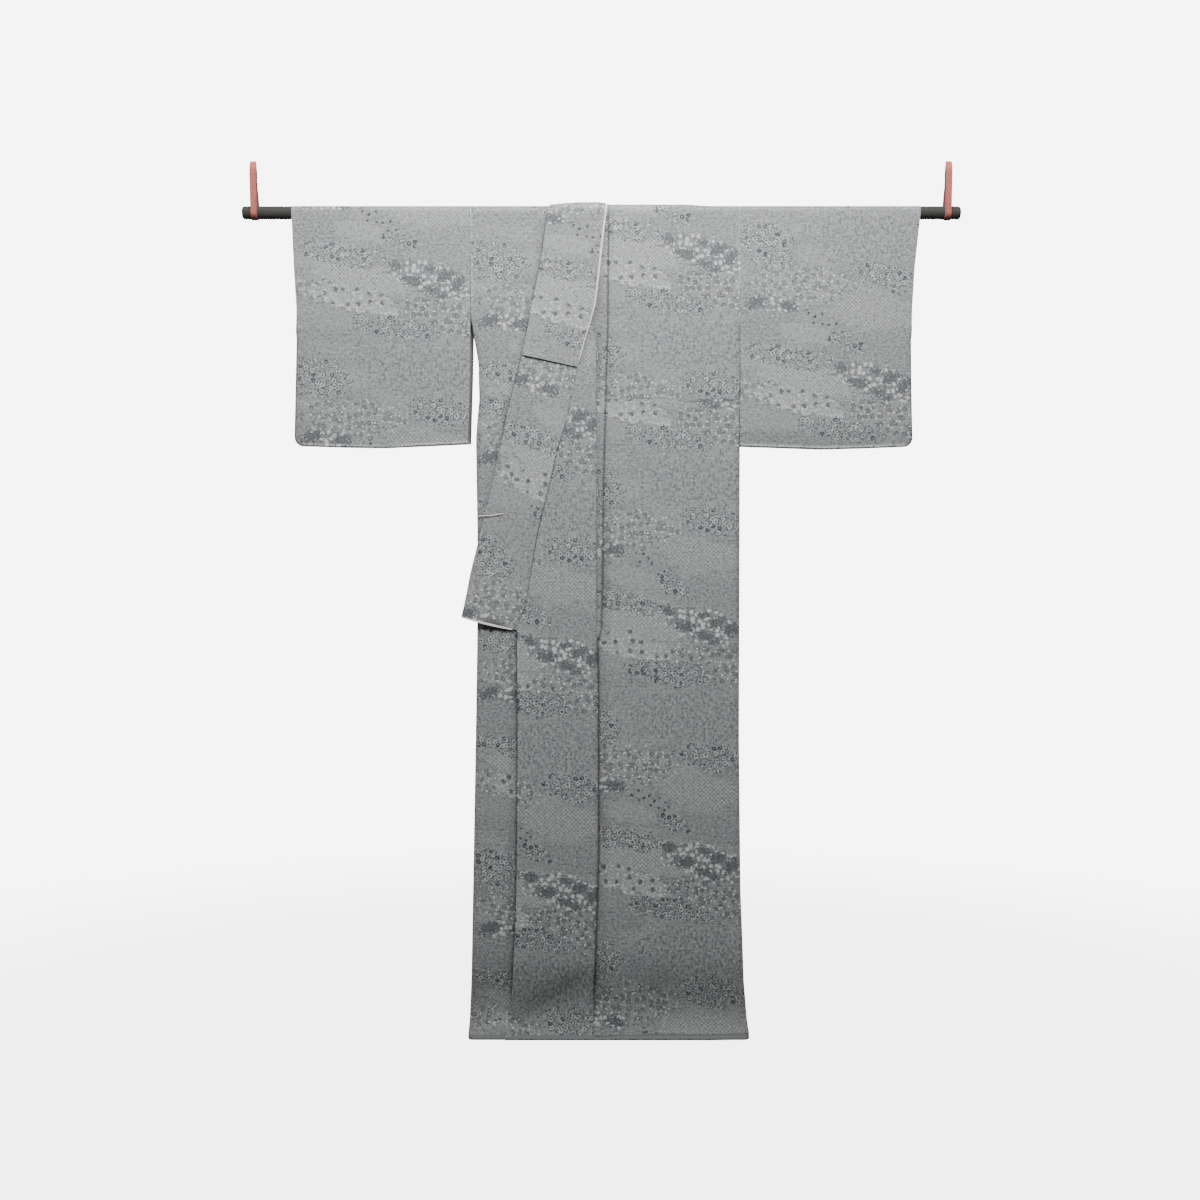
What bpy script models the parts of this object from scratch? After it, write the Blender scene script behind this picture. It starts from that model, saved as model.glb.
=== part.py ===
"""Silk kimono, closed left over right and hung flat on a lacquered rod by two strap loops.

Metres, +Z up, the front faces -Y. The origin is on the rod's axis, above the kimono's centre back
seam. Left and right are the wearer's, so the left front is the one on top and its side is +X.

Every cloth piece is a grid laid along one path: up the front, over the rod and down the back. The
path runs by a length s: below zero on the front, where z = s, then round the rod, then down the
back. A piece lies on the path at a lift, which counts the layers of cloth that it passes over.
"""

import math
from collections import namedtuple

import bmesh
import bpy
from mathutils import Vector

COLLECTION = "silk_kimono"

# Cloth
WALL = 0.0011  # thickness of a piece of lined silk
LAYER = 0.00145  # from one layer of cloth to the next
SEAM = 0.0003  # left open between two pieces that are sewn together
SIDE_SLIT = 0.0004  # left open between the front and back edges of a side seam
MERGE = 0.00002  # points closer than this are one

# Rod and loops
ROD_RADIUS = 0.012
ROD_CLEAR = 0.0003
ROD_LEFT_END = 0.6925
ROD_RIGHT_END = -0.7070
ROD_EDGE = 0.004  # rounding of the rod's ends
ROD_SIDES = 28
RAIL_RADIUS = 0.0195  # the rack's rail that the loops go over
RAIL_HEIGHT = 0.078  # the rail's axis above the rod's
LOOP_WIDTH = 0.012
LOOP_WALL = 0.0022
LOOP_LEFT = 0.6694  # middle of each strap along the rod
LOOP_RIGHT = -0.6865
LOOP_ARC_STEPS = 9

# The path over the rod
ARC = math.pi * (ROD_RADIUS + ROD_CLEAR)  # length of the path over the rod
APEX = ARC / 2

# Lengths down from the rod's axis
HEM = -1.602
HEM_ROLL = 0.0082  # how far the rolled lining shows below the hem
HEM_BULGE = 0.0004
HEM_WALL = WALL * 1.25
ARMHOLE = -0.2035
ARMHOLE_CLOSED = -0.2285  # the side's edges have come close from here down
SIDE_OPENING_END = -0.345
SIDE_OPENING_FADE = 0.012
CUFF_OPENING = -0.228
CUFF_CLOSED = -0.248  # the wrist edge is closed from here down
SLEEVE_LOW = -0.4545
FREE_UNDER_END = -0.825  # where the under front's collar ends
OVER_COLLAR_END = -0.3026
COLLAR_END = -0.8130
POINT = -0.2035  # the upper point of an overlap panel
BACK_NECK = -0.030
PLEAT_END = -0.835  # where the pleat line has run into the overlap seam
PLEAT_START = -0.06

# Widths from the centre line
NECK = 0.088  # half the cut at the neck
CENTRE_SEAM = 0.00015
COLLAR_SPLIT = 0.0020  # where the over collar's two fronts part, on top of the rod
END_ROOM = 0.01  # the next row of a band is at least this far from its end
COLLAR_JOIN = -0.0060  # where the two halves of the main collar meet, under the over collar
COLLAR_WIDTH = 0.107
CROWN_CLEAR = 0.0003  # more room between the two bands on top of the rod
CROWN_START = -0.055  # the band stands up over the rod from here to where it comes down again
CROWN_FULL = APEX * 0.6
CROWN_END = APEX * 1.3
COLLAR_TAPER = 0.0052  # how much narrower the band is on top of the rod
SPLIT_DIP = 0.4  # share of the lift that is lost beside the split, behind the rod's top
SPLIT_DIP_FROM = 0.85  # from this far across the band
SPLIT_DIP_FULL = APEX * 1.2
BACK_COLLAR = 0.0872
BACK_COLLAR_FROM = ARC * 0.7

# Folds
PLEAT_STEP = 0.0024  # how far the cloth right of the pleat line stands proud
PLEAT_EDGE = 0.0018  # width of the step itself
PLEAT_ROOM = 0.0012  # the least width left of it
PLEAT_FADE = 0.075
PLEAT_TOE = 0.0004  # the step starts this far past the line
PLEAT_SHALLOW = 0.5  # share of the step that is gone where the line ends
PLEAT_SHALLOW_FROM = -0.6
COVER_REACH = 0.035  # how far past the under front's collar the over front stays lifted
COVER_FADE = 0.07
COVER_CHANGE = FREE_UNDER_END - 0.03
COVER_BELOW = 0.19  # the same reach below the end of the under front's collar
SHOULDER_FROM = ARC * 0.70  # between these the over front comes down to the back
SHOULDER_TO = ARC + 0.028
SWELL_START = -0.1  # the soft ridges have their full height from here down
TROUGH_DEPTH = 0.0013
TROUGH_WIDTH = 0.016
SIDE_ROLL = 0.011  # width over which a side edge turns in
OPEN_ROLL = 0.72  # how far it has turned in where the side is left open
SIDE_FADE = 0.012  # over this width next to a side edge the front's lift runs out
SEAM_FADE = 0.6  # share of the lift that runs out where the side is sewn
SLEEVE_ROLL = 0.010
SLEEVE_ROLL_START = 0.1  # share of the roll's width before its first column
SLEEVE_FACE = 0.999  # share of the flat width that its columns fill
SLEEVE_CORNER = 0.018


Depth = namedtuple("Depth", "z body sleeve")
DEPTHS = (  # half the room between the front and the back
    Depth(0.000, 0.0123, 0.0123),
    Depth(-0.060, 0.0114, 0.0114),
    Depth(-0.204, 0.0098, 0.0098),
    Depth(-0.300, 0.0090, 0.0078),
    Depth(-0.455, 0.0082, 0.0058),
    Depth(-0.800, 0.0076, 0.0058),
    Depth(-1.300, 0.0078, 0.0058),
    Depth(-1.620, 0.0092, 0.0058),
)

Side = namedtuple("Side", "z left right")
SIDES = (  # the body's side edges
    Side(0.000, 0.2633, 0.2633),
    Side(-0.204, 0.2631, 0.2613),
    Side(-0.443, 0.2629, 0.2555),
    Side(-0.638, 0.2624, 0.2486),
    Side(-0.833, 0.2618, 0.2496),
    Side(-1.028, 0.2613, 0.2525),
    Side(-1.320, 0.2642, 0.2577),
    Side(-1.418, 0.2680, 0.2594),
    Side(-1.496, 0.2705, 0.2609),
    Side(-1.570, 0.2765, 0.2640),
    Side(-1.611, 0.2824, 0.2679),
)

Sleeve = namedtuple("Sleeve", "z left_in left_out right_in right_out")
SLEEVES = (  # the sleeves' inner and outer edges
    Sleeve(0.012, 0.2636, 0.6140, 0.2636, 0.6100),
    Sleeve(-0.025, 0.2636, 0.6105, 0.2636, 0.6086),
    Sleeve(-0.110, 0.2636, 0.6014, 0.2626, 0.6050),
    Sleeve(-0.190, 0.2636, 0.5968, 0.2618, 0.6000),
    Sleeve(-0.230, 0.2638, 0.5964, 0.2622, 0.6010),
    Sleeve(-0.326, 0.2638, 0.5972, 0.2637, 0.6034),
    Sleeve(-0.456, 0.2638, 0.5998, 0.2674, 0.6062),
)

Bottom = namedtuple("Bottom", "across left right")
SLEEVE_BOTTOMS = (  # the lower fold, from the armhole seam out to the wrist edge
    Bottom(0.00, -0.4512, -0.4475),
    Bottom(0.50, -0.4568, -0.4552),
    Bottom(0.75, -0.4560, -0.4545),
    Bottom(1.00, -0.4530, -0.4515),
)

Collar = namedtuple("Collar", "z sewn free")
COLLAR_EDGES = (  # the over front's collar: its sewn edge and its free edge
    Collar(0.0000, -0.0004, -0.1105),
    Collar(-0.0137, -0.0027, -0.1132),
    Collar(-0.0760, -0.0098, -0.1214),
    Collar(-0.1310, -0.0156, -0.1316),
    Collar(-0.1810, -0.0215, -0.1424),
    Collar(-0.2240, -0.0332, -0.1498),
    Collar(-0.2555, -0.0429, -0.1566),
    Collar(-0.2980, -0.0527, -0.1656),
    Collar(-0.3650, -0.0663, -0.1831),
    Collar(-0.4110, -0.0761, -0.1942),
    Collar(-0.4620, -0.0917, -0.2044),
    Collar(-0.5130, -0.1034, -0.2148),
    Collar(-0.5600, -0.1151, -0.2260),
    Collar(-0.6270, -0.1310, -0.2429),
    Collar(-0.7000, -0.1436, -0.2614),
    Collar(-0.7620, -0.1541, -0.2732),
    Collar(-0.8130, -0.1726, -0.2846),
)
Slant = namedtuple("Slant", "z rise")
COLLAR_SLANTS = (  # how much higher a cross line of the band ends at its free edge
    Slant(0.0000, 0.0000),
    Slant(-0.0137, 0.0000),
    Slant(-0.1500, 0.0130),
    Slant(-0.3026, 0.0234),
    Slant(-0.8130, 0.0262),
)
Crown = namedtuple("Crown", "across lift")
COLLAR_CROWN = (  # how the band stands up over the rod, from its free edge to its sewn edge
    Crown(0.00, -0.00140),
    Crown(0.20, 0.00090),
    Crown(0.50, 0.00300),
    Crown(0.85, 0.00310),
    Crown(1.00, 0.00110),
)

Overlap = namedtuple("Overlap", "z seam free")
OVERLAP_LEFT = (  # the over front's overlap panel, with its free edge below the collar
    Overlap(-0.2010, -0.0256, -0.0258),
    Overlap(-0.2555, -0.0178, -0.0429),
    Overlap(-0.3840, -0.0175, -0.0700),
    Overlap(-0.5200, -0.0168, -0.1050),
    Overlap(-0.8320, -0.0166, -0.1716),
    Overlap(-0.8720, -0.0137, -0.1712),
    Overlap(-1.0280, -0.0130, -0.1704),
    Overlap(-1.2600, -0.0128, -0.1716),
    Overlap(-1.3790, -0.0166, -0.1745),
    Overlap(-1.5250, -0.0214, -0.1821),
    Overlap(-1.5830, -0.0222, -0.1891),
    Overlap(-1.6110, -0.0226, -0.1955),
)
OVERLAP_RIGHT = (  # the under front's, with the signs turned to its own side
    Overlap(-0.2010, 0.0000, -0.0006),
    Overlap(-0.8320, 0.0060, -0.1350),
    Overlap(-1.6110, 0.0100, -0.1400),
)
Under = namedtuple("Under", "z sewn")
UNDER_COLLAR = (  # the sewn edge of the under front's collar, with the same signs
    Under(0.0000, -0.0024),
    Under(-0.2010, -0.0004),
    Under(-0.8320, -0.1350),
)
Pleat = namedtuple("Pleat", "z x")
PLEAT = (  # the pleat line that runs down from the neck into the overlap seam
    Pleat(0.0137, 0.0068),
    Pleat(-0.1310, 0.0058),
    Pleat(-0.2400, 0.0051),
    Pleat(-0.3257, 0.0020),
    Pleat(-0.4817, -0.0020),
    Pleat(-0.5600, -0.0039),
    Pleat(-0.7160, -0.0047),
    Pleat(-0.8130, -0.0078),
    Pleat(-0.8350, -0.0130),
)

Wave = namedtuple("Wave", "x z half_width half_length depth")
SOFT_WAVES = (  # broad soft ridges of the front, which stand proud
    Wave(-0.218, -1.20, 0.030, 0.42, 0.0016),
    Wave(-0.095, -1.05, 0.045, 0.50, 0.0014),
    Wave(0.080, -1.25, 0.055, 0.40, 0.0018),
    Wave(0.165, -0.75, 0.050, 0.50, 0.0016),
    Wave(0.205, -1.45, 0.030, 0.22, 0.0020),
)
BACK_WAVES = (
    Wave(-0.150, -1.15, 0.055, 0.50, 0.0018),
    Wave(0.140, -1.25, 0.060, 0.45, 0.0018),
    Wave(0.060, -0.60, 0.050, 0.35, 0.0012),
    Wave(-0.060, -0.65, 0.045, 0.35, 0.0012),
)

Trough = namedtuple("Trough", "x z slope bend fade_in fade_out")
TROUGH = Trough(-0.16, -1.553, 0.62, 0.9, (-0.175, -0.13), (-0.045, -0.02))

Finish = namedtuple("Finish", "colour roughness")
SILK = Finish((0.27, 0.285, 0.31, 1.0), 0.62)
LINING = Finish((0.16, 0.19, 0.25, 1.0), 0.6)
LACQUER = Finish((0.012, 0.011, 0.012, 1.0), 0.18)
STRAP = Finish((0.36, 0.14, 0.13, 1.0), 0.8)

# Rows of the grids: lengths down a panel, and steps round the rod
FRONT_ROWS = (
    HEM, -1.575, -1.53, -1.47, -1.39, -1.29, -1.17, -1.04, -0.93, -0.85, COLLAR_END, -0.73, -0.62,
    -0.52, -0.43, -0.365, -0.335, -0.29, -0.245, -0.222, POINT, -0.16, -0.11, -0.065, -0.03, -0.006,
)
BACK_ROWS = (
    BACK_NECK - SEAM, -0.06, -0.11, -0.16, -0.2035, -0.222, -0.245, -0.29, -0.335, -0.365, -0.43, -0.52,
    -0.64, -0.78, -0.93, -1.08, -1.23, -1.37, -1.49, -1.56, HEM,
)
ARC_STEPS = 10
ARC_TURNS = tuple(step / ARC_STEPS for step in range(ARC_STEPS + 1))
NECK_SLIT_FROM = 4  # steps round the rod between which the neck is open behind the under front
NECK_SLIT_TO = 6
SLEEVE_ROWS = (
    1.0, 0.99, 0.975, 0.955, 0.90, 0.80, 0.70, 0.60, 0.545, 0.50, 0.43, 0.34, 0.24, 0.14, 0.06,
)
NECK_QUARTERS = (0.022, 0.044, 0.066)
FRONT_COLUMN = 0.045
SIDE_SHARES = (0.3, 0.6, 0.85)
NECK_COLUMNS = 4  # columns of a body length inside the cut at the neck
SLEEVE_COLUMNS = (0.0, 0.14, 0.28, 0.42, 0.56, 0.70, 0.84)
ROLL_COLUMNS = (0.0, 0.5, 0.85, 1.0)
BAND_COLUMNS = (0.0, 0.2, 0.5, 0.85, 1.0)
HEM_SHARES = (0.0, 0.1, 0.2, 0.32, 0.44, 0.56, 0.68, 0.8, 0.9, 1.0)
HEM_TURNS = (0, 22, 45, 67, 90, 113, 135, 158, 180)  # degrees round the side
OVERLAP_ROWS = tuple(z for z in FRONT_ROWS if z <= POINT)
OVERLAP_COLUMNS = 5


def smooth(low, high, value):
    """0 at low, 1 at high, with an even slope at both."""
    t = min(max((value - low) / (high - low), 0.0), 1.0)
    return t * t * (3.0 - 2.0 * t)


def at(table, key, where, value):
    """The column called value where the column called key has the given number."""
    rows = sorted(table, key=lambda row: getattr(row, key))
    if where <= getattr(rows[0], key):
        return getattr(rows[0], value)
    for low, high in zip(rows, rows[1:]):
        a, b = getattr(low, key), getattr(high, key)
        if where <= b:
            t = (where - a) / (b - a)
            return getattr(low, value) * (1.0 - t) + getattr(high, value) * t
    return getattr(rows[-1], value)


def height(s):
    """Height of a place on the path, and 0 on the rod."""
    return s if s < 0.0 else min(ARC - s, 0.0)


def place(x, s, lift, depth="body", flat=1.0):
    """A point on the path at a lift; flat is the share of the depth that is left at a rolled edge."""
    if 0.0 <= s <= ARC:
        turn = math.pi * s / ARC
        radius = ROD_RADIUS + ROD_CLEAR + lift
        return Vector((x, -radius * math.cos(turn) * flat, radius * math.sin(turn)))
    z = height(s)
    half = (at(DEPTHS, "z", z, depth) + lift) * flat
    return Vector((x, -half if s < 0.0 else half, z))


def waves(table, x, z):
    """The lift of the broad soft ridges at a place."""
    total = 0.0
    for wave in table:
        across = min(abs(x - wave.x) / wave.half_width, 1.0)
        along = min(abs(z - wave.z) / wave.half_length, 1.0)
        total += wave.depth * (1.0 - smooth(0.0, 1.0, across)) * (1.0 - smooth(0.0, 1.0, along))
    return total


def trough(x, z):
    """The soft diagonal trough across the overlap panel, near the hem."""
    along = x - TROUGH.x
    middle = TROUGH.z + TROUGH.slope * along - TROUGH.bend * along**2
    inside = smooth(*TROUGH.fade_in, x) * (1.0 - smooth(*TROUGH.fade_out, x))
    return -TROUGH_DEPTH * inside * math.exp(-(((z - middle) / TROUGH_WIDTH) ** 2))


def collection():
    made = bpy.data.collections.new(COLLECTION)
    bpy.context.scene.collection.children.link(made)
    return made


def material(name, finish):
    made = bpy.data.materials.new(name)
    made.use_nodes = True
    shader = made.node_tree.nodes["Principled BSDF"]
    shader.inputs["Base Color"].default_value = finish.colour
    shader.inputs["Roughness"].default_value = finish.roughness
    return made


def node(name, bm, finish, home):
    """Makes a named object of a mesh."""
    mesh = bpy.data.meshes.new(name)
    bm.to_mesh(mesh)
    bm.free()
    made = bpy.data.objects.new(name, mesh)
    made.data.materials.append(material(name, finish))
    home.objects.link(made)
    return made


def thicken(made, wall):
    """Gives a sheet its thickness on the outward side."""
    wall_modifier = made.modifiers.new("Wall", "SOLIDIFY")
    wall_modifier.thickness = wall
    wall_modifier.offset = 1.0
    wall_modifier.use_even_offset = False
    return made


def sheet(name, columns, rows, point, finish, home, gone=None, turned=False, wall=WALL):
    """A cloth wall on a grid. point gives a vertex from its column and row, gone the faces left out."""
    bm = bmesh.new()
    bmesh.ops.create_grid(bm, x_segments=columns - 1, y_segments=rows - 1, size=1.0)
    spot = {}
    for vertex in bm.verts:
        column = round((vertex.co.x + 1.0) / 2.0 * (columns - 1))
        row = round((vertex.co.y + 1.0) / 2.0 * (rows - 1))
        spot[vertex] = (column, row)
    if gone:
        out = [
            face
            for face in bm.faces
            if gone(min(spot[v][0] for v in face.verts), min(spot[v][1] for v in face.verts))
        ]
        bmesh.ops.delete(bm, geom=out, context="FACES")
    for vertex in bm.verts:
        vertex.co = point(*spot[vertex])
    bmesh.ops.remove_doubles(bm, verts=bm.verts[:], dist=MERGE)
    if turned:
        bmesh.ops.reverse_faces(bm, faces=bm.faces[:])
    return thicken(node(name, bm, finish, home), wall)


def side_roll(z):
    """How far the front and back edges have turned in: 0 at the armhole, 1 at the side seam."""
    opening = OPEN_ROLL * smooth(ARMHOLE, ARMHOLE_CLOSED, z)
    above, below = SIDE_OPENING_END + SIDE_OPENING_FADE, SIDE_OPENING_END - SIDE_OPENING_FADE
    return opening + (1.0 - OPEN_ROLL) * smooth(above, below, z)


def rolled(z, t, half):
    """Share of the depth that is left at t of the way across a side's turned edge."""
    edge = SIDE_SLIT / 2.0 / half
    left = 1.0 - (1.0 - edge) * side_roll(z)
    return left + (1.0 - left) * math.sqrt(max(1.0 - t * t, 0.0))


def body_stations():
    return FRONT_ROWS + tuple(ARC * turn for turn in ARC_TURNS) + tuple(ARC - z for z in BACK_ROWS)


def over_front_lift(x, s):
    """Lift of the over front: it passes over the under front and its collar."""
    z = height(s)
    under = -at(UNDER_COLLAR, "z", max(z, FREE_UNDER_END), "sewn") + COLLAR_WIDTH
    reach = under + COVER_REACH if z > COVER_CHANGE else COVER_BELOW
    covered = 1.0 - smooth(reach, reach + COVER_FADE, x)
    over_shoulder = 1.0 - smooth(SHOULDER_FROM, SHOULDER_TO, s)
    lift = 2.0 * LAYER * covered * over_shoulder
    if s >= 0.0:
        return lift
    return lift + waves(SOFT_WAVES, x, z) * smooth(0.0, SWELL_START, z)


def pleat_lift(x, z):
    """The step at the pleat line and, below its end, at the overlap seam."""
    line = at(PLEAT, "z", z, "x")
    if z > PLEAT_END:
        shallow = PLEAT_SHALLOW * smooth(PLEAT_SHALLOW_FROM, PLEAT_END, z)
        depth = PLEAT_STEP * smooth(0.0, PLEAT_START, z) * (1.0 - shallow)
    else:
        line = at(OVERLAP_LEFT, "z", z, "seam")
        depth = PLEAT_STEP * PLEAT_SHALLOW
    if x <= line + PLEAT_TOE:
        return 0.0
    return depth * (1.0 - smooth(line, line + PLEAT_FADE, x))


def over_collar_seam(s, join=COLLAR_SPLIT):
    """The seam between the over front and its collar, up to the top of the rod."""
    if s < 0.0:
        return at(COLLAR_EDGES, "z", s, "sewn")
    start = COLLAR_EDGES[0].sewn
    return start + (join - start) * smooth(0.0, APEX, s)


def under_collar_seam(s, join=COLLAR_SPLIT):
    """The same for the under front, in the row's own X."""
    if s < 0.0:
        return -at(UNDER_COLLAR, "z", s, "sewn")
    start = -UNDER_COLLAR[0].sewn
    return start + (join - start) * smooth(0.0, APEX, s)


def left_front_columns(s):
    z = height(s)
    inner = over_collar_seam(s) if z > POINT else at(OVERLAP_LEFT, "z", z, "seam")
    inner += SEAM / 2
    line = inner + PLEAT_ROOM
    if z > PLEAT_END:
        line = max(at(PLEAT, "z", z, "x"), line)
    return [inner, line, line + PLEAT_EDGE, FRONT_COLUMN, NECK]


def right_front_columns(s):
    z = height(s)
    inner = at(UNDER_COLLAR, "z", z, "sewn") if z > POINT else at(OVERLAP_RIGHT, "z", z, "seam")
    return [inner + SEAM / 2, *NECK_QUARTERS, NECK]


def back_columns():
    return [CENTRE_SEAM, *NECK_QUARTERS, NECK]


def body(name, side, home):
    """A body length: front hem, over the rod, back hem, with the neck cut out of it."""
    stations = body_stations()
    sign = 1.0 if side == "left" else -1.0
    over = side == "left"
    first_back = len(FRONT_ROWS) + len(ARC_TURNS)
    neck_from = len(FRONT_ROWS) + ARC_STEPS // 2 if over else len(FRONT_ROWS) - 1

    def across(s):
        z = height(s)
        edge = at(SIDES, "z", z, side) - WALL * side_roll(z)
        front = left_front_columns(s) if over else right_front_columns(s)
        inner = front if s <= APEX else back_columns()
        middle = [NECK + (edge - SIDE_ROLL - NECK) * t for t in SIDE_SHARES]
        return inner + middle + [edge - SIDE_ROLL * (1.0 - t) for t in ROLL_COLUMNS]

    def point(column, row):
        s = stations[row]
        z = height(s)
        xs = across(s)
        x = xs[column]
        if s < 0.0 or over and s <= ARC - BACK_NECK:
            lift = over_front_lift(x, s) if over else waves(SOFT_WAVES, -x, z)
            if over and s < 0.0 and column > 1:
                lift += pleat_lift(x, z)
        else:
            lift = 0.0
        if s > ARC:
            lift += waves(BACK_WAVES, sign * x, z)
        roll = xs[-1] - SIDE_ROLL
        lift *= 1.0 - smooth(roll - SIDE_FADE, xs[-1], x) * (1.0 if z > SIDE_OPENING_END else SEAM_FADE)
        half = at(DEPTHS, "z", z, "body") + lift
        t = max((x - roll) / SIDE_ROLL, 0.0)
        spot = place(x, s, lift, flat=rolled(z, t, half))
        spot.x *= sign
        return spot

    def gone(column, row):
        return column < NECK_COLUMNS and neck_from <= row < first_back

    columns = len(across(stations[0]))
    return sheet(name, columns, len(stations), point, SILK, home, gone, turned=not over)


def overlap(name, side, home):
    """An overlap panel, from its point at the collar down to the hem."""
    over = side == "left"
    table = OVERLAP_LEFT if over else OVERLAP_RIGHT
    sign = 1.0 if over else -1.0

    def edges(z):
        seam = at(table, "z", z, "seam")
        if over and z >= COLLAR_END:
            return over_collar_seam(z) + SEAM / 2, seam - SEAM / 2
        if not over and z >= FREE_UNDER_END:
            return at(UNDER_COLLAR, "z", z, "sewn") + SEAM / 2, seam - SEAM / 2
        return at(table, "z", z, "free"), seam - SEAM / 2

    def point(column, row):
        z = OVERLAP_ROWS[row]
        free, seam = edges(z)
        x = free + (seam - free) * column / (OVERLAP_COLUMNS - 1)
        if over:
            lift = over_front_lift(x, z) + trough(x, z)
        else:
            lift = waves(SOFT_WAVES, -x, z)
        spot = place(x, z, lift)
        spot.x *= sign
        return spot

    rows = len(OVERLAP_ROWS)
    return sheet(name, OVERLAP_COLUMNS, rows, point, SILK, home, turned=not over)


def over_the_rod(s):
    """1 on top of the rod, falling to 0 a little way down the front and the back."""
    return smooth(CROWN_START, CROWN_FULL, s) * (1.0 - smooth(CROWN_END, ARC, s))


def left_band_lift(s, across):
    """Lift of the collar on the over front's side."""
    lift = 2.0 * LAYER * (1.0 - smooth(CROWN_END, ARC, s))
    lift += at(COLLAR_CROWN, "across", across, "lift") * over_the_rod(s)
    dip = smooth(SPLIT_DIP_FROM, 1.0, across) * smooth(APEX, SPLIT_DIP_FULL, s)
    return lift * (1.0 - SPLIT_DIP * dip)


def left_band(s, across, join):
    """x and s of a place on the over front's collar, from its free edge to its sewn edge."""
    sewn = over_collar_seam(s, join) - SEAM / 2
    if s < 0.0:
        rise = at(COLLAR_SLANTS, "z", s, "rise")
        free = at(COLLAR_EDGES, "z", s + rise, "free")
        return free + (sewn - free) * across, s + rise * (1.0 - across)
    free = COLLAR_EDGES[0].free + COLLAR_TAPER * smooth(0.0, APEX, s)
    free += (-BACK_COLLAR - free) * smooth(APEX, BACK_COLLAR_FROM, s)
    return free + (sewn - free) * across, s


def right_band(s, across, join):
    """x and s of a place on the under front's collar, from its sewn edge to its free edge."""
    sewn = under_collar_seam(s, join) + SEAM / 2
    if s < 0.0:
        rise = at(COLLAR_SLANTS, "z", s, "rise")
        return sewn + COLLAR_WIDTH * across, s + rise * across
    free = -UNDER_COLLAR[0].sewn + COLLAR_WIDTH
    free += (BACK_COLLAR - free) * smooth(APEX, BACK_COLLAR_FROM, s)
    return sewn + (free - sewn) * across, s


def band_stations(end):
    inside = tuple(z for z in FRONT_ROWS if z > end + END_ROOM)
    arc = tuple(ARC * turn for turn in ARC_TURNS)
    return (end,) + inside + arc + (ARC - BACK_NECK * 0.5, ARC - BACK_NECK)


def collar(name, side, home):
    """Half of the main collar, from its lower end over the rod to the centre back."""
    over = side == "left"
    stations = band_stations(COLLAR_END if over else FREE_UNDER_END)

    def point(column, row):
        across = BAND_COLUMNS[column]
        station = stations[row]
        x, s = (left_band if over else right_band)(station, across, COLLAR_JOIN)
        if not over:
            return place(x, s, 0.0)
        free = left_band(station, 0.0, COLLAR_SPLIT)[0]
        shown = (x - free) / (left_band(station, 1.0, COLLAR_SPLIT)[0] - free)
        lift = left_band_lift(station, shown) - CROWN_CLEAR * over_the_rod(station)
        return place(x, s, lift)

    def gone(column, row):
        slit = stations.index(0.0) + NECK_SLIT_FROM <= row < stations.index(0.0) + NECK_SLIT_TO
        return not over and slit and column < len(BAND_COLUMNS) - 2

    return sheet(name, len(BAND_COLUMNS), len(stations), point, SILK, home, gone)


def over_collar(name, home):
    """The band laid over the collar: two front ends that join behind the neck."""
    stations = band_stations(OVER_COLLAR_END)
    first_arc = stations.index(0.0)
    half = len(BAND_COLUMNS)

    def point(column, row):
        s = stations[row]
        left = column < half
        across = BAND_COLUMNS[column % half]
        if left:
            x, where = left_band(s, across, COLLAR_SPLIT)
            lift = left_band_lift(s, across)
        else:
            x, where = right_band(s, across, COLLAR_SPLIT)
            lift = 0.0
        return place(x, where, lift + LAYER)

    def gone(column, row):
        if column == half - 1:
            return row < first_arc + NECK_SLIT_TO
        slit = first_arc + NECK_SLIT_FROM <= row < first_arc + NECK_SLIT_TO
        return slit and half <= column < 2 * half - 2

    return sheet(name, 2 * half, len(stations), point, SILK, home, gone)


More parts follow.
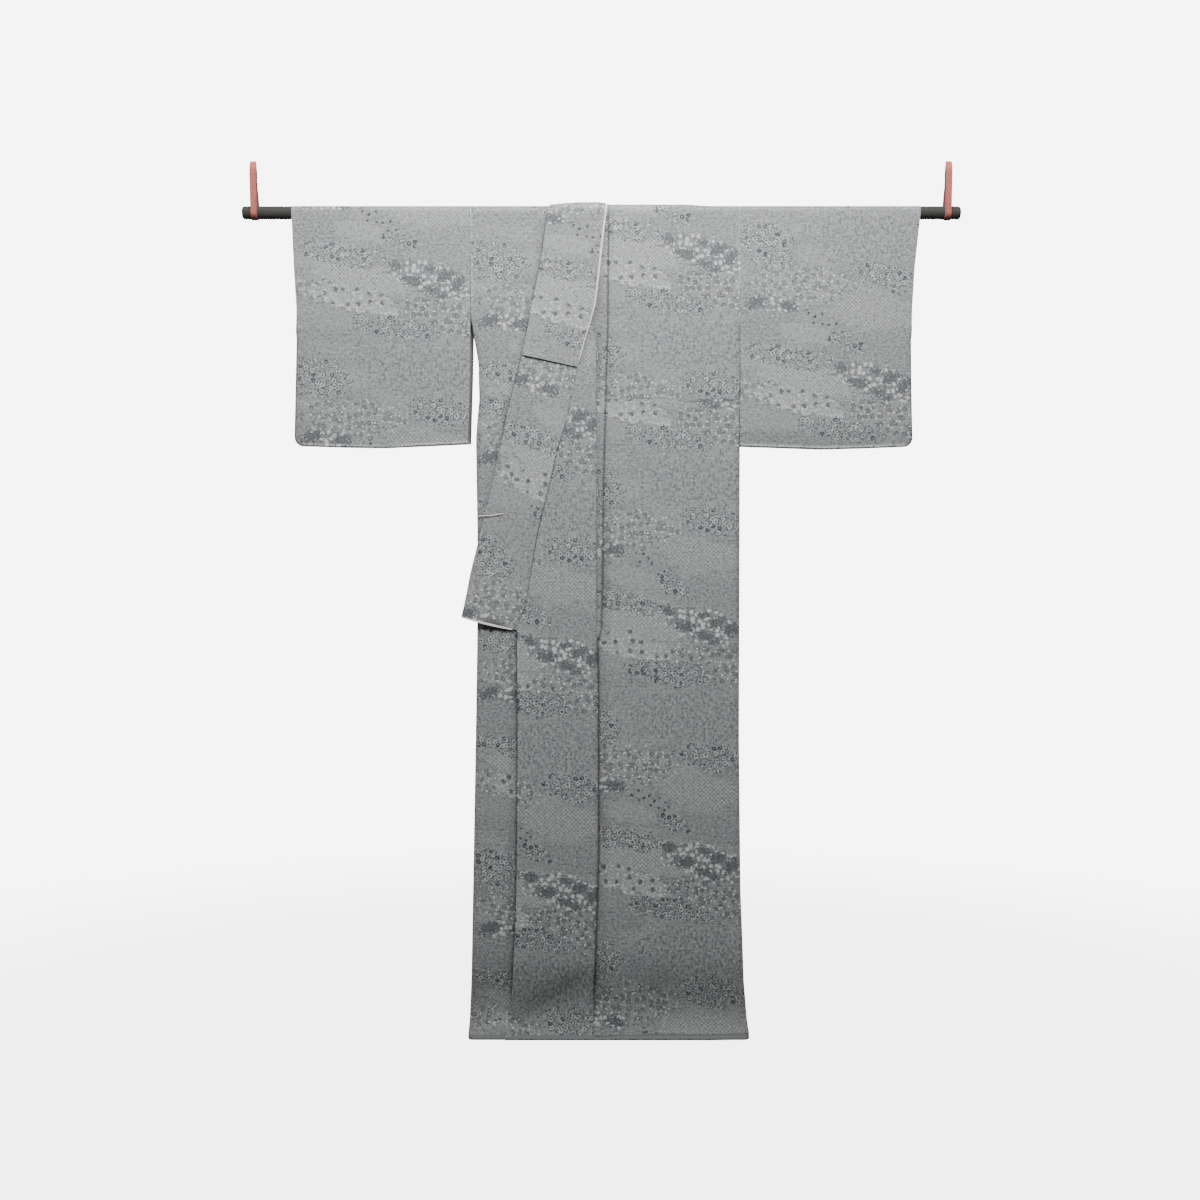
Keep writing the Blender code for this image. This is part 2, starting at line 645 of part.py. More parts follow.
def sleeve(name, side, home):
    """A sleeve: one length folded over the rod, closed below the wrist and along the bottom."""
    sign = 1.0 if side == "left" else -1.0
    down = SLEEVE_ROWS
    turns = ARC_TURNS[1:-1]
    share = tuple(down) + (0.0,) + tuple(turns) + (0.0,) + tuple(reversed(down))
    first_turn = len(down) + 1
    first_back = first_turn + len(turns)
    count = len(SLEEVE_COLUMNS) + len(ROLL_COLUMNS)

    def outer(z, low):
        edge = at(SLEEVES, "z", z, side + "_out") - WALL * smooth(CUFF_OPENING, CUFF_CLOSED, z)
        near = max(SLEEVE_CORNER - (z - low), 0.0)
        return edge - SLEEVE_CORNER + math.sqrt(max(SLEEVE_CORNER**2 - near**2, 0.0))

    def point(column, row):
        on_rod = first_turn <= row < first_back
        step = 0.0 if on_rod else share[row]
        low = SLEEVE_LOW + WALL
        z0 = max(step * SLEEVE_LOW, low)
        inner = at(SLEEVES, "z", z0, side + "_in")
        edge = outer(z0, low)
        body_edge = edge - SLEEVE_ROLL
        if column < len(SLEEVE_COLUMNS):
            share_across = SLEEVE_COLUMNS[column] / SLEEVE_COLUMNS[-1] * SLEEVE_FACE
            x = inner + (body_edge - inner) * share_across
            t = 0.0
        else:
            t = ROLL_COLUMNS[column - len(SLEEVE_COLUMNS)]
            x = body_edge + SLEEVE_ROLL * (SLEEVE_ROLL_START + (1.0 - SLEEVE_ROLL_START) * t)
        across = (x - inner) / (edge - inner)
        z = z0 * (at(SLEEVE_BOTTOMS, "across", across, side) / SLEEVE_LOW) if z0 < 0.0 else z0
        closed = smooth(CUFF_OPENING, CUFF_CLOSED, z0)
        flat = 1.0 - closed + closed * math.sqrt(max(1.0 - t * t, 0.0))
        up = (z0 - low) / SLEEVE_ROLL
        if up < 1.0:
            flat *= math.sqrt(max(1.0 - (1.0 - up) ** 2, 0.0))
        if on_rod:
            spot = place(x, ARC * share[row], 0.0)
        else:
            s = z if row < first_turn else ARC - z
            spot = place(x, s, 0.0, depth="sleeve", flat=flat)
        spot.x *= sign
        return spot

    return sheet(name, count, len(share), point, SILK, home, turned=side == "right")


def hem_lining(name, side, home):
    """The lining rolled out below the hem: across the front, round the side and across the back."""
    over = side == "left"
    sign = 1.0 if over else -1.0
    top = HEM - SEAM
    edge = at(SIDES, "z", HEM, side) - WALL - SIDE_ROLL
    free = at(OVERLAP_LEFT if over else OVERLAP_RIGHT, "z", HEM, "free")
    path = [("front", free + (edge - free) * t) for t in HEM_SHARES[:-1]]
    path += [("turn", math.radians(angle)) for angle in HEM_TURNS]
    path += [("back", edge + (CENTRE_SEAM - edge) * t) for t in HEM_SHARES[1:]]

    def lift_at(x, s):
        if s > 0.0:
            return waves(BACK_WAVES, sign * x, HEM)
        return over_front_lift(x, s) if over else waves(SOFT_WAVES, -x, HEM)

    def point(column, row):
        kind, value = path[column]
        z = top - HEM_ROLL * row / 2.0
        bulge = HEM_BULGE if row == 1 else 0.0
        if kind == "turn":
            front = lift_at(edge, HEM)
            lift = front * (1.0 - smooth(0.0, math.pi, value))
            half = at(DEPTHS, "z", z, "body") + lift + bulge
            x = edge + (SIDE_ROLL + bulge) * math.sin(value)
            spot = Vector((x, -half * math.cos(value), z))
        else:
            s = z if kind == "front" else ARC - z
            spot = place(value, s, lift_at(value, HEM if kind == "front" else ARC) + bulge)
        spot.x *= sign
        return spot

    return sheet(name, len(path), 3, point, LINING, home, turned=over, wall=HEM_WALL)


def hanging_rod(name, home):
    """A round rod along X with softened ends."""
    bm = bmesh.new()
    length = ROD_LEFT_END - ROD_RIGHT_END
    bmesh.ops.create_cone(
        bm, cap_ends=True, segments=ROD_SIDES, radius1=ROD_RADIUS, radius2=ROD_RADIUS, depth=length
    )
    rims = [edge for edge in bm.edges if abs(edge.verts[0].co.z - edge.verts[1].co.z) < length / 2]
    bmesh.ops.bevel(bm, geom=rims, offset=ROD_EDGE, segments=3, profile=0.5, affect="EDGES")
    middle = (ROD_LEFT_END + ROD_RIGHT_END) / 2
    for vertex in bm.verts:
        vertex.co = Vector((vertex.co.z + middle, vertex.co.y, -vertex.co.x))
    return node(name, bm, LACQUER, home)


def loop(name, middle, home):
    """A flat strap that goes round the rod and over the rack's rail."""
    low = ROD_RADIUS + ROD_CLEAR
    high = RAIL_RADIUS + ROD_CLEAR
    lean = math.asin((high - low) / RAIL_HEIGHT)
    path = []
    for step in range(LOOP_ARC_STEPS + 1):
        angle = math.pi + lean + (math.pi - 2.0 * lean) * step / LOOP_ARC_STEPS
        path.append((low * math.cos(angle), low * math.sin(angle)))
    for step in range(LOOP_ARC_STEPS + 1):
        angle = -lean + (math.pi + 2.0 * lean) * step / LOOP_ARC_STEPS
        path.append((high * math.cos(angle), RAIL_HEIGHT + high * math.sin(angle)))
    path.append(path[0])

    def point(column, row):
        y, z = path[row]
        return Vector((middle + LOOP_WIDTH * (column - 0.5), y, z))

    return sheet(name, 2, len(path), point, STRAP, home, turned=True, wall=LOOP_WALL)


def main():
    for old in list(bpy.data.objects):
        bpy.data.objects.remove(old, do_unlink=True)
    home = collection()
    hanging_rod("hanging_rod", home)
    loop("loop_left", LOOP_LEFT, home)
    loop("loop_right", LOOP_RIGHT, home)
    body("body_left", "left", home)
    body("body_right", "right", home)
    overlap("okumi_left", "left", home)
    overlap("okumi_right", "right", home)
    collar("collar_left", "left", home)
    collar("collar_right", "right", home)
    over_collar("over_collar", home)
    sleeve("sleeve_left", "left", home)
    sleeve("sleeve_right", "right", home)
    hem_lining("hem_lining_left", "left", home)
    hem_lining("hem_lining_right", "right", home)


main()
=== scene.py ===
"""Looks of a silk kimono that hangs flat on a lacquered rod, closed left over right.

Metres, +Z up, the front faces -Y. Left and right are the wearer's, so the left front is the one
on top and its side is +X. Every cloth piece is a thin grid laid along one path: up the front,
over the rod and down the back. The path runs by a length s: below zero on the front, where
z = s, then round the rod, then down the back.
"""

import math
from collections import namedtuple

import bmesh
import bpy
from bpy.props import FloatProperty, FloatVectorProperty, PointerProperty
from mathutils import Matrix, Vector


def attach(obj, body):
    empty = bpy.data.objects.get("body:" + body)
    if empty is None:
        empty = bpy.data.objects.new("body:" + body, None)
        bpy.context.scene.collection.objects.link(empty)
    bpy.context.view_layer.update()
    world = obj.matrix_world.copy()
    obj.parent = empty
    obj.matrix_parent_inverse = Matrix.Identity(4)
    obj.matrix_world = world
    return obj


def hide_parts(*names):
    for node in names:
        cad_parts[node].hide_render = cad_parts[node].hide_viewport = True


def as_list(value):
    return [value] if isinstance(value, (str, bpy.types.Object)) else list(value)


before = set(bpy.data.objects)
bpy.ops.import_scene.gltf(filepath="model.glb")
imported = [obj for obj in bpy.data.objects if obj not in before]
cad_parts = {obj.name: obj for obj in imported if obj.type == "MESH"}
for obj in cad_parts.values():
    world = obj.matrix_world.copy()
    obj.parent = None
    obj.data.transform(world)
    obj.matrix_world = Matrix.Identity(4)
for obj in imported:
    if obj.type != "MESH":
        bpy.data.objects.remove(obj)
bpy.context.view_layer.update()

bl_info = {
    "name": "Silk kimono on a rod",
    "version": (1, 0, 0),
    "blender": (4, 5, 0),
    "location": "View3D > Sidebar > Kimono",
    "description": "Builds the cloth, lining, rod and straps of a hanging silk kimono",
    "category": "Add Mesh",
}

BODY = "root"  # what every piece rides on


def table(columns, *rows):
    """Rows of numbers with named columns."""
    row = namedtuple("row", columns)
    return tuple(row(*values) for values in rows)


# Cloth
LAYER = 0.00145  # from one layer of cloth to the next
SEAM = 0.0003  # left open between two pieces that are sewn together
SIDE_SLIT = 0.0004  # left open between front and back at the side seam
CLOTH_STEP = 0.011  # largest distance between two rows of a cloth grid

# Rod and straps
ROD_RADIUS = 0.012
ROD_CLEAR = 0.0003  # left open between the rod and the cloth
ROD_ENDS = (-0.7070, 0.6925)
ROD_EDGE = 0.004  # radius of the rounded ends
ROD_SIDES = 96
RAIL_RADIUS = 0.0195  # of the rail that the straps hang from, which isn't built
RAIL_HEIGHT = 0.078
STRAP_MIDDLES = {"left": 0.6668, "right": -0.6830}
STRAP_WIDTH = 0.012
STRAP_WALL = 0.0022
STRAP_LEAN = 0.0062  # how far out along the rod the rear run leans at the rail
# painted shade on the straps' edges and on their rear run
STRAP_EDGE_DARK = 0.35
STRAP_REAR_DARK = 0.85
STRAP_ARC_STEPS = 24
STRAP_RUN_STEPS = 12
STRAP_COLUMNS = 9

# Lengths down from the rod's axis
HEM = -1.602
ARMHOLE = -0.2035
SIDE_OPENING_END = -0.345
CUFF_OPENING = -0.228
SLEEVE_LOW = -0.4545
FREE_UNDER_END = -0.825
OVER_COLLAR_END = -0.3026
COLLAR_END = -0.8130
POINT = -0.2035
BACK_NECK = -0.030
PLEAT_END = -0.835
TUCK = -0.365  # the waist tuck, taken up inside, where the figure of the silk jumps

# Widths from the centre line
NECK = 0.088
CENTRE_SEAM = 0.00015
COLLAR_SPLIT = 0.0020  # where the two seams of the over collar meet on the rod
COLLAR_JOIN = -0.0060  # the same for the main collar below it
COLLAR_WIDTH = 0.107
CROWN_CLEAR = 0.0003  # how much lower the main collar lies on the rod
COLLAR_TAPER = 0.0052
BACK_COLLAR = 0.0872  # where the collar's edge lies behind the neck

# Folds
PLEAT_STEP = 0.0024
PLEAT_FADE = 0.075
COVER_REACH = 0.035  # how far the over front stands proud beyond the collar under it
LOWER_COVER_REACH = 0.19  # the same from the centre line, below the collar's end
COVER_FADE = 0.07
SIDE_ROLL = 0.011  # width of the turned side edge
SIDE_CALM = 0.012  # inside it, where the folds die away
ROLL_SHARES = (0.72, 0.28)  # of the side roll, from the armhole down and from the side seam down
SLEEVE_ROLL = 0.006
SLEEVE_CORNER = 0.018
CLOTH_ROOM = 0.0008  # the thickness of the cloth outside its own grid
SLEEVE_REACH = {  # how far a sleeve's front and back inner edges reach towards the body; the back edges carry painted shade in the slit
    "left": (0.0012, 0.0042),
    "right": (0.0000, 0.0058),
}
PLEAT_SPREAD = 0.0045  # width of the dark valley on each side of the pleat line
LINE_FROM_SEAM = 0.0012  # the least distance of the pleat line from the panel's seam
PLEAT_VALLEY = (0.9, 0.35)  # how far from the line its columns stand, as shares of the valley
LINE_LANE = 0.045  # out to here the columns follow the pleat line
BACK_LANE = 0.004  # of the first columns from the centre line behind
UNDER_LANE = 0.005  # and from the under front's inner edge
COLLAR_PUFF = 0.0012  # how far the folded band swells between its edges
COLLAR_END_PROUD = 0.0050  # how far the collar's lower end stands off the cloth
OVER_COLLAR_END_PROUD = 0.0020
PANEL_EDGE_PROUD = 0.0009  # the same for the overlap's edge below the collar

ARC = math.pi * (ROD_RADIUS + ROD_CLEAR)  # length of the path over the rod
ARC_STEPS = 20
ARC_TURNS = tuple(step / ARC_STEPS for step in range(ARC_STEPS + 1))
ARC_ROWS = tuple(ARC * turn for turn in ARC_TURNS)
APEX = ARC / 2
NECK_SLIT_FROM = 0.4 * ARC
NECK_SLIT_TO = 0.6 * ARC
CROWN_STARTS = (-0.055, APEX * 0.6)  # where the collar starts to stand up over the rod
BEHIND_SINKS = (APEX * 1.3, ARC)  # where it sinks back behind the neck
BACK_TURNS_IN = (APEX, ARC * 0.7)  # where its free edge reaches its place behind the neck
SHOULDER_SINKS = (ARC * 0.70, ARC + 0.028)  # where the over front comes down to the back

DEPTHS = table(  # half the room between the front and the back
    "z body sleeve",
    (0.0, 0.0123, 0.0123), (-0.06, 0.0114, 0.0114), (-0.204, 0.0098, 0.0098), (-0.3, 0.009, 0.0078),
    (-0.455, 0.0082, 0.0058), (-0.8, 0.0076, 0.0058), (-1.3, 0.0078, 0.0058), (-1.62, 0.0092, 0.0058),
)
SIDES = table(  # the body's side edges
    "z left right",
    (0.0, 0.2633, 0.2633), (-0.204, 0.2631, 0.2605), (-0.238, 0.2631, 0.2566), (-0.262, 0.263, 0.252),
    (-0.295, 0.263, 0.2465), (-0.365, 0.2629, 0.2456), (-0.412, 0.2629, 0.25), (-0.443, 0.2629, 0.252),
    (-0.638, 0.2624, 0.249), (-0.833, 0.2618, 0.2496), (-1.028, 0.2613, 0.2525), (-1.32, 0.2642, 0.2577),
    (-1.418, 0.268, 0.2594), (-1.496, 0.2705, 0.2609), (-1.57, 0.2765, 0.264), (-1.611, 0.2824, 0.2679),
)
SLEEVES = table(  # the sleeves' inner and outer edges
    "z left_in left_out right_in right_out",
    (0.012, 0.2636, 0.614, 0.2636, 0.61), (-0.025, 0.2636, 0.6105, 0.2636, 0.6086),
    (-0.11, 0.2636, 0.6014, 0.2626, 0.605), (-0.19, 0.2636, 0.5968, 0.2618, 0.6),
    (-0.23, 0.2638, 0.5964, 0.2622, 0.601), (-0.326, 0.2638, 0.5972, 0.2637, 0.6034),
    (-0.456, 0.2638, 0.5998, 0.2674, 0.6062),
)
SLEEVE_BOTTOMS = table(  # the lower fold, from the armhole seam out to the wrist edge
    "across left right",
    (0.0, -0.4566, -0.4518), (0.5, -0.4622, -0.4594), (0.75, -0.46, -0.4584), (1.0, -0.4568, -0.4556),
)
COLLAR_EDGES = table(  # the over front's collar: its sewn edge and its free edge
    "z sewn free",
    (0.0, -0.0004, -0.1105), (-0.0137, -0.0027, -0.1132), (-0.076, -0.0098, -0.1214),
    (-0.131, -0.0156, -0.1316), (-0.181, -0.0215, -0.1424), (-0.224, -0.0332, -0.1498),
    (-0.2555, -0.0429, -0.1566), (-0.298, -0.0527, -0.1656), (-0.365, -0.0663, -0.1831),
    (-0.411, -0.0761, -0.1942), (-0.462, -0.0917, -0.2044), (-0.513, -0.1034, -0.2148),
    (-0.56, -0.1151, -0.226), (-0.627, -0.131, -0.2429), (-0.7, -0.1436, -0.2614), (-0.762, -0.1541, -0.2732),
    (-0.813, -0.1726, -0.2846),
)
COLLAR_SLANTS = table(  # how much higher a cross line of the band ends at its free edge
    "z rise",
    (0.0, 0.0), (-0.0137, 0.0), (-0.15, 0.013), (-0.3026, 0.0234), (-0.813, 0.0262),
)
COLLAR_CROWN = table(  # how the band stands up over the rod, from its free edge to its sewn edge
    "across lift",
    (0.0, -0.0014), (0.2, 0.0009), (0.5, 0.003), (0.85, 0.0031), (1.0, 0.0011),
)
OVERLAP_LEFT = table(  # the over front's overlap panel, with its free edge below the collar
    "z seam free",
    (-0.201, -0.0256, -0.0258), (-0.2555, -0.0178, -0.0429), (-0.384, -0.0175, -0.07),
    (-0.52, -0.0168, -0.105), (-0.832, -0.0166, -0.1716), (-0.872, -0.0137, -0.1712),
    (-1.028, -0.013, -0.1704), (-1.26, -0.0128, -0.1716), (-1.379, -0.0166, -0.1745),
    (-1.525, -0.0214, -0.1821), (-1.583, -0.0222, -0.1891), (-1.611, -0.0226, -0.1955),
)
OVERLAP_RIGHT = table(  # the under front's, with the signs turned to its own side
    "z seam free",
    (-0.201, 0.0, -0.0006), (-0.832, 0.006, -0.135), (-1.611, 0.01, -0.14),
)
UNDER_COLLAR = table(  # the sewn edge of the under front's collar, with the same signs
    "z sewn",
    (0.0, -0.0024), (-0.201, -0.0004), (-0.832, -0.135),
)
PLEAT = table(  # the pleat line that runs down from the neck into the overlap seam
    "z x",
    (0.0137, 0.0068), (-0.131, 0.0058), (-0.24, 0.0051), (-0.3257, 0.002), (-0.4817, -0.002),
    (-0.56, -0.0039), (-0.716, -0.0047), (-0.813, -0.0078), (-0.835, -0.013),
)
FRONT_WAVES = table(  # broad soft ridges of the front, which stand proud
    "x z half_width half_length depth",
    (-0.218, -1.2, 0.03, 0.42, 0.0016), (-0.095, -1.05, 0.045, 0.5, 0.0014),
    (0.08, -1.25, 0.055, 0.4, 0.0018), (0.165, -0.75, 0.05, 0.5, 0.0016), (0.205, -1.45, 0.03, 0.22, 0.002),
)
BACK_WAVES = table(
    "x z half_width half_length depth",
    (-0.15, -1.15, 0.055, 0.5, 0.0018), (0.14, -1.25, 0.06, 0.45, 0.0018), (0.06, -0.6, 0.05, 0.35, 0.0012),
    (-0.06, -0.65, 0.045, 0.35, 0.0012),
)
FRONT_CREASES = table(  # soft troughs (below zero) and ridges of the front
    "x0 z0 x1 z1 width depth",
    (-0.165, -1.556, -0.03, -1.478, 0.013, -0.0013), (-0.115, -1.585, -0.02, -1.53, 0.012, 0.0007),
    (0.055, -1.56, 0.15, -1.33, 0.016, 0.0009), (0.19, -1.59, 0.235, -1.3, 0.012, -0.001),
    (0.1, -0.48, 0.15, -0.92, 0.018, -0.0006), (0.205, -0.38, 0.225, -0.7, 0.013, -0.0007),
    (-0.06, -0.9, -0.075, -1.35, 0.014, -0.0006), (-0.215, -1.0, -0.222, -1.42, 0.011, -0.0007),
    (0.04, -0.12, 0.06, -0.33, 0.016, 0.0005),
)
HEM_SHADOWS = table(  # painted shadow of the slanting fold near the over front's lower corner: its depth is how dark it is
    "x0 z0 x1 z1 width depth",
    (-0.2, -1.586, -0.01, -1.462, 0.018, 0.27), (-0.185, -1.552, -0.01, -1.468, 0.034, 0.07),
)
BACK_CREASES = table(
    "x0 z0 x1 z1 width depth",
    (-0.11, -1.57, -0.15, -1.25, 0.015, -0.001), (0.1, -1.58, 0.16, -1.31, 0.014, 0.001),
    (0.2, -0.42, 0.215, -0.78, 0.013, -0.0008), (-0.19, -0.4, -0.215, -0.86, 0.014, -0.0007),
    (0.03, -0.9, 0.055, -1.4, 0.015, -0.0007),
)
SLEEVE_CREASES = table(
    "x0 z0 x1 z1 width depth",
    (0.33, -0.08, 0.345, -0.4, 0.014, 0.0006), (0.47, -0.06, 0.5, -0.38, 0.018, -0.0006),
    (0.56, -0.12, 0.565, -0.33, 0.01, 0.0006), (0.29, -0.3, 0.31, -0.43, 0.01, -0.0005),
)

# Rows and columns of the grids
FRONT_ROWS = (
    HEM, -1.575, -1.53, -1.47, -1.39, -1.29, -1.17, -1.04, -0.93, -0.85, COLLAR_END, -0.73, -0.62,
    -0.52, -0.43, TUCK, -0.335, -0.29, -0.245, -0.222, POINT, -0.16, -0.11, -0.065, -0.03, -0.006,
)
BACK_ROWS = (
    BACK_NECK - SEAM, -0.06, -0.11, -0.16, -0.2035, -0.222, -0.245, -0.29, -0.335, TUCK, -0.43, -0.52,
    -0.64, -0.78, -0.93, -1.08, -1.23, -1.37, -1.49, -1.56, HEM,
)
SLEEVE_SHARES = (  # of the sleeve's length
    1.0, 0.997, 0.993, 0.988, 0.981, 0.97, 0.955, 0.93, 0.90, 0.80, 0.70, 0.60, 0.545, 0.50, 0.43, 0.34,
    0.24, 0.14, 0.06,
)
SLEEVE_COLUMNS = 26
SLIT_SHARE = 0.8  # brings the second column close to the slit
ROLL_COLUMNS = (0.0, 0.3, 0.55, 0.72, 0.85, 0.93, 0.98, 1.0)
BAND_COLUMNS = (0.0, 0.03, 0.08, 0.14, 0.2, 0.3, 0.4, 0.5, 0.6, 0.7, 0.78, 0.85, 0.92, 0.97, 1.0)
BAND_SLIT_ACROSS = 0.85
HEM_SECTION = (  # down the section of the roll: drop from the top, and lift off the cloth
    (0.0, -0.0002), (0.3, 0.0002), (0.55, 0.0007), (0.75, 0.0009), (0.9, 0.0006), (0.98, -0.0001),
    (1.0, -0.0010), (0.97, -0.0020), (0.85, -0.0030),
)
HEM_WALL = 0.0007
HEM_RISE = 0.004  # on the side seam's side, and the dip near the overlap's edge
HEM_DIP = 0.002
THREAD_ENDS = ((-0.2463, 0.0, -0.5922), (-0.1970, 0.0, -0.5878))
THREAD_HEIGHT = -0.59
THREAD_RADIUS = 0.0009
THREAD_PROUD = 0.0016  # above the collar
THREAD_DROP = 0.0030  # from the collar down to the front beside it
THREAD_SAG = 0.0012
THREAD_WAVE = 0.0006
THREAD_STEPS = 24
WHITE_EDGE_PROFILE = ((-0.2, 0.0), (0.25, 0.9), (0.7, 0.8), (1.1, 0.0))
WHITE_EDGE_WIDTH = 0.0033
WHITE_EDGE_WALL = 0.0004
END_EDGE_LEAST = 0.0014  # width of the white edge below the collar, and how much more in its middle
END_EDGE_MORE = 0.0036
PALE_COLUMNS = 5  # of a body length, along its side edge
PLEAT_COLUMN = 3  # of a body length, on the pleat line
NECK_COLUMNS = 13  # of a body length, cut out at the neck
OVERLAP_COLUMNS = (
    0.0, 0.008, 0.02, 0.04, 0.07, 0.11, 0.17, 0.24, 0.31, 0.38, 0.45, 0.52, 0.59, 0.66, 0.73, 0.80, 0.86,
    0.91, 0.95, 0.98, 1.0,
)

# The figure of the silk: one repeat, charted in metres from its upper left corner
CHART = table(
    "across down half_width half_height lean filling tone rim",
    (0.255, 0.05, 0.115, 0.052, 0.06, "sprigs", -0.02, 0.0),
    (0.047, 0.063, 0.056, 0.04, 0.18, "blossoms", 0.02, 0.0),
    (0.12, 0.142, 0.102, 0.038, 0.06, "pearls", 0.03, 0.0),
    (0.282, 0.128, 0.064, 0.028, 0.14, "blossoms", 0.0, 0.0),
    (0.256, 0.195, 0.082, 0.034, 0.1, "lattice", 0.08, 0.0),
    (0.052, 0.226, 0.06, 0.038, 0.1, "grain", -0.03, 0.0),
    (0.128, 0.236, 0.055, 0.019, 0.12, "plain", 0.08, 0.0),
    (0.16, 0.212, 0.042, 0.015, 0.45, "seeds", 0.0, 0.0),
    (0.27, 0.266, 0.074, 0.03, 0.15, "grain", -0.02, 0.0),
    (0.14, 0.32, 0.11, 0.034, 0.16, "lattice", 0.13, 0.0),
    (0.095, 0.283, 0.104, 0.02, 0.16, "blossoms", 0.03, 0.0),
    (0.206, 0.254, 0.034, 0.018, 0.4, "blossoms", 0.0, 0.0),
    (0.036, 0.35, 0.05, 0.022, 0.16, "pearls", 0.06, 0.05),
    (0.122, 0.368, 0.084, 0.024, 0.24, "beads", 0.18, 0.22),
    (0.058, 0.402, 0.062, 0.02, 0.16, "plain", 0.02, 0.0),
    (0.282, 0.404, 0.078, 0.038, 0.22, "pearls", -0.02, 0.0),
    (0.196, 0.424, 0.082, 0.021, 0.14, "blossoms", -0.02, 0.0),
    (0.082, 0.439, 0.076, 0.014, 0.1, "ripples", -0.04, 0.0),
    (0.064, 0.18, 0.052, 0.015, 0.06, "bunches", 0.0, 0.0),
    (0.266, 0.331, 0.08, 0.032, 0.22, "bunches", 0.0, 0.0),
)
LEAVES = table(
    "across down half_width half_height lean",
    (0.197, 0.303, 0.0125, 0.009, 0.25), (0.227, 0.332, 0.02, 0.01, 0.1),
    (0.262, 0.31, 0.0125, 0.006, 0.1), (0.266, 0.351, 0.017, 0.008, 0.15),
    (0.291, 0.324, 0.016, 0.011, -0.2), (0.317, 0.338, 0.013, 0.014, -0.3),
    (0.286, 0.362, 0.012, 0.006, 0.0), (0.031, 0.177, 0.02, 0.012, -0.25),
    (0.092, 0.184, 0.017, 0.0095, 0.2),
)
Cut = namedtuple("Cut", "across down")
CUTS = {  # where on the repeat each piece was cut
    "body_left": Cut(0.0725, -0.0164), "body_right": Cut(0.2565, 0.1576),
    "overlap_left": Cut(0.341, -0.075), "overlap_right": Cut(0.200, 0.110),
    "collar": Cut(0.027, 0.286), "over_collar": Cut(0.080, 0.168),
    "sleeve_left": Cut(-0.2636, 0.000), "sleeve_right": Cut(0.603, 0.198),
}
TUCK_SHIFT = 0.2654  # of the repeat, above the waist tuck
LEAF_SHADE = -0.34
PETALS = 5
BLACK_BLOSSOMS_FROM = 0.84  # the share of the blossoms that aren't black
OVAL_POWER, OVAL_ROOT = 2.2, 0.455  # how square the patches are
DYES = (  # from the darkest to the palest shade
    (0.14, "ink_colour"), (0.36, "dark_colour"), (0.50, "ground_colour"), (0.62, "pale_colour"),
    (0.84, "white_colour"),
)
SILK_TINT = (0.20, 0.205, 0.235, 1.0)
LINING_CHANGE = (-0.985, -0.995)  # heights between which the lining changes colour

# Heights between which something starts or ends
LINE_ENDS = (-1.48, -1.58)  # the pleat line and the overlap seam, which fade out
LINE_WIDENS = (-0.44, -0.60)
COLLAR_SEAM_STARTS = (-0.38, -0.44)
COLLAR_SEAM_FADES = (-0.64, -0.77)
COLLAR_SHADOW_NARROWS = (-0.42, -0.52)
PANEL_SHADOW_ENDS = (-1.50, -1.60)
OVERLAP_EDGE_ENDS = (-1.54, -1.60)
HEM_SHADE_STARTS = (-1.42, -1.50)
HEM_SHADE_ENDS = (-1.52, -1.57)
HEM_PALES = (-1.55, -1.60)
SLEEVE_SLIT_STARTS = (-0.285, -0.315)
SLEEVE_SLIT_ENDS = (-0.335, -0.37)
SLEEVE_BOTTOM_DARKENS = (-0.408, -0.436)
SLEEVE_CLOSES = (CUFF_OPENING, CUFF_OPENING - 0.02)
OPENING_CLOSES = (SIDE_OPENING_END + 0.012, SIDE_OPENING_END - 0.012)
COLLAR_END_LIFTS = (COLLAR_END, COLLAR_END + 0.12)
OVER_COLLAR_END_LIFTS = (OVER_COLLAR_END, OVER_COLLAR_END + 0.05)
PANEL_EDGE_LIFTS = (COLLAR_END - 0.03, COLLAR_END)
WHITE_EDGE_STARTS = (-0.305, -0.27)

# Painted shade and painted light on the cloth: how dark the seams, folds, slits and shadows are painted and
# how pale the painted light on turned edges and near the hem: 1 is the darkest
PLEAT_SHADES = ((1.0, 0.0), (0.62, 0.12), (0.14, 0.18), (0.0, 0.0))  # painted shade of the pleat valley: from the line, and more lower down
PLEAT_WIDER_INSIDE = 0.3
OVERLAP_EDGE_DARK = 0.68
SEAM_DARK = 0.95
SEAM_SHADES = (SEAM_DARK, 0.60, 0.26, 0.0)
PANEL_SEAM_SHADES = {1.0: SEAM_DARK, 0.98: 0.25, 0.95: 0.04}  # by the share across the panel
SEAM_FAINT = 0.40
COLLAR_SEAM_DARK = 1.0
CENTRE_DARK = 0.55
TUCK_DARK = 0.15
EDGE_DARK = 0.20
EDGE_PALE = -0.60
BOTTOM_PALES = ((0.2, -2.9), (0.5, -2.2), (2.5, -1.3), (3.5, -0.6))  # painted light on the bottom fold, which faces down: up to how far above the fold
BODY_EDGE_PALE = -0.32
HEM_DARK = 0.36
HEM_PALE = -0.44
SLIT_DARK = 0.9
SLIT_INSIDE_DARK = 1.28
BOTTOM_ROLL = 0.0016
LEFT_BOTTOM_DARK = 0.22  # the left sleeve turns away from the light above its lower fold

UV_NAME = "cloth"  # the place on the repeat, in metres
PAINTED_SHADING_NAME = "crease"  # painted shade of a seam, fold or slit, and below zero painted light
BESIDE_NAME = "beside"  # distance from the edge of the cloth that lies on top, which sets the painted shadow beside that edge
FAR = 0.2

